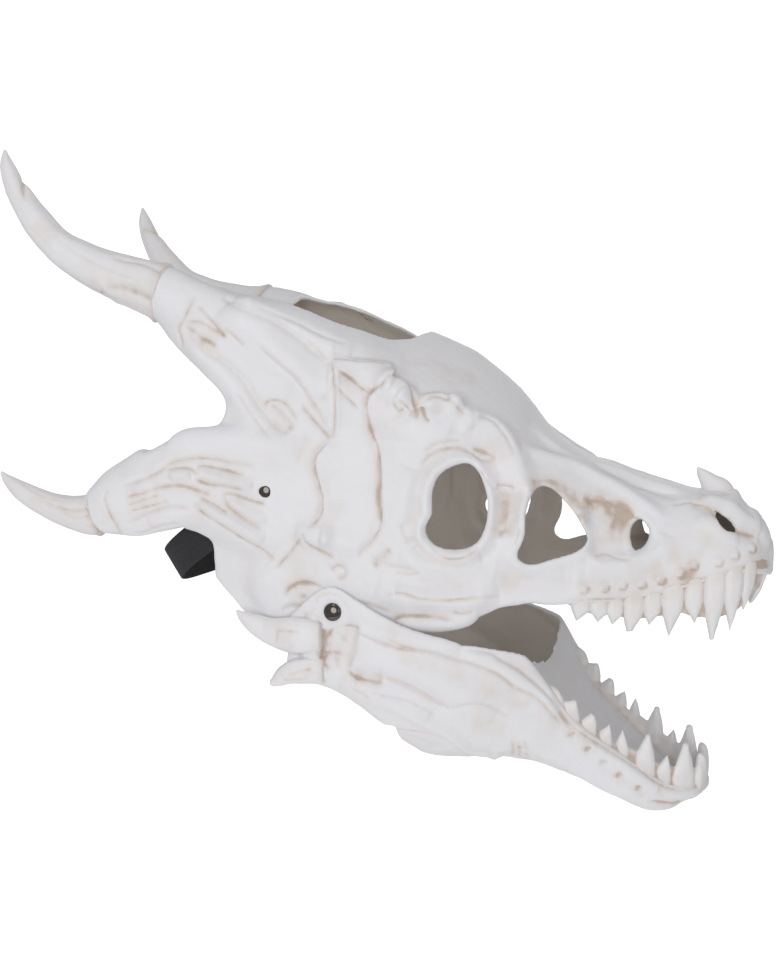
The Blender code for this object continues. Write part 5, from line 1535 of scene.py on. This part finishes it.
def flat_finish(name, colour, rough):
    made, _, shader = tree_of(name)
    shader.inputs["Base Color"].default_value = (*colour, 1.0)
    shader.inputs["Roughness"].default_value = rough
    shader.inputs["Specular IOR Level"].default_value = 0.1
    return made


floor_mesh = bpy.data.meshes.new("floor")
floor_mesh.from_pydata([(1.2 * math.cos(a * math.pi / 48), 1.2 * math.sin(a * math.pi / 48), -1.0)
                        for a in range(96)], [], [tuple(range(96))])
pale = flat_finish("floor_pale", (0.92, 0.92, 0.92), 0.9)
pale_shader = next(n for n in pale.node_tree.nodes if n.type == "BSDF_PRINCIPLED")
pale_shader.inputs["Emission Color"].default_value = (1.0, 1.0, 1.0, 1.0)
pale_shader.inputs["Emission Strength"].default_value = 0.28
floor_mesh.materials.append(pale)
floor = bpy.data.objects.new("floor", floor_mesh)
bpy.context.scene.collection.objects.link(floor)
floor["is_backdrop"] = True


def lamp(name, at, look, size, power, colour=(1, 1, 1)):
    light = bpy.data.lights.new(name, "AREA")
    light.shape = "DISK"
    light.size = size
    light.energy = power
    light.color = colour
    obj = bpy.data.objects.new(name, light)
    at, look = Vector(at), Vector(look)
    obj.location = at
    obj.rotation_euler = (look - at).to_track_quat("-Z", "Y").to_euler()
    bpy.context.scene.collection.objects.link(obj)
    return obj


lamp("key", (0.05, -1.9, 0.18), (0.07, 0, 0.0), 1.3, 13.0)
lamp("fill", (1.5, -1.0, 0.2), (0.07, 0, 0.0), 1.0, 2.0)
lamp("back", (0.2, 2.0, 0.7), (0.07, 0, 0.0), 1.3, 5.0)
lamp("top", (0.0, -1.1, 1.9), (0.07, 0, 0.0), 0.7, 4.0)

world = bpy.data.worlds.new("studio")
bpy.context.scene.world = world
world.use_nodes = True
wt = world.node_tree
wt.nodes.clear()
wout = wt.nodes.new("ShaderNodeOutputWorld")
bg = wt.nodes.new("ShaderNodeBackground")
bg.inputs["Color"].default_value = (1.0, 1.0, 1.0, 1.0)
bg.inputs["Strength"].default_value = 0.44
bright = wt.nodes.new("ShaderNodeBackground")
bright.inputs["Color"].default_value = (1.0, 1.0, 1.0, 1.0)
bright.inputs["Strength"].default_value = 1.2
rays = wt.nodes.new("ShaderNodeLightPath")
mixer = wt.nodes.new("ShaderNodeMixShader")
wt.links.new(rays.outputs["Is Camera Ray"], mixer.inputs[0])
wt.links.new(bg.outputs[0], mixer.inputs[1])
wt.links.new(bright.outputs[0], mixer.inputs[2])
wt.links.new(mixer.outputs[0], wout.inputs["Surface"])

view = bpy.context.scene.view_settings
view.view_transform = "Standard"
view.look = "None"
view.exposure = 0.0
view.gamma = 1.0

lens = bpy.data.cameras.new("camera")
lens.lens = 36.0 * 1250 / 975
lens.sensor_width = 36.0
lens.clip_start = 0.01
lens.clip_end = 50.0
lens.dof.use_dof = False
camera = bpy.data.objects.new("camera", lens)
bpy.context.scene.collection.objects.link(camera)
turn = Matrix((ACROSS, UPWARD, -AHEAD)).transposed()
camera.matrix_world = Matrix.Translation(Vector(EYE_AT * MM)) @ turn.to_4x4()
bpy.context.scene.camera = camera

last_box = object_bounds()


def plain(value):
    if isinstance(value, dict):
        return {k: plain(v) for k, v in value.items()}
    if hasattr(value, "__len__") and not isinstance(value, str):
        return [plain(v) for v in value]
    return float(value) if not isinstance(value, str) else value


{"cad": plain(first_box), "scene": plain(last_box)}
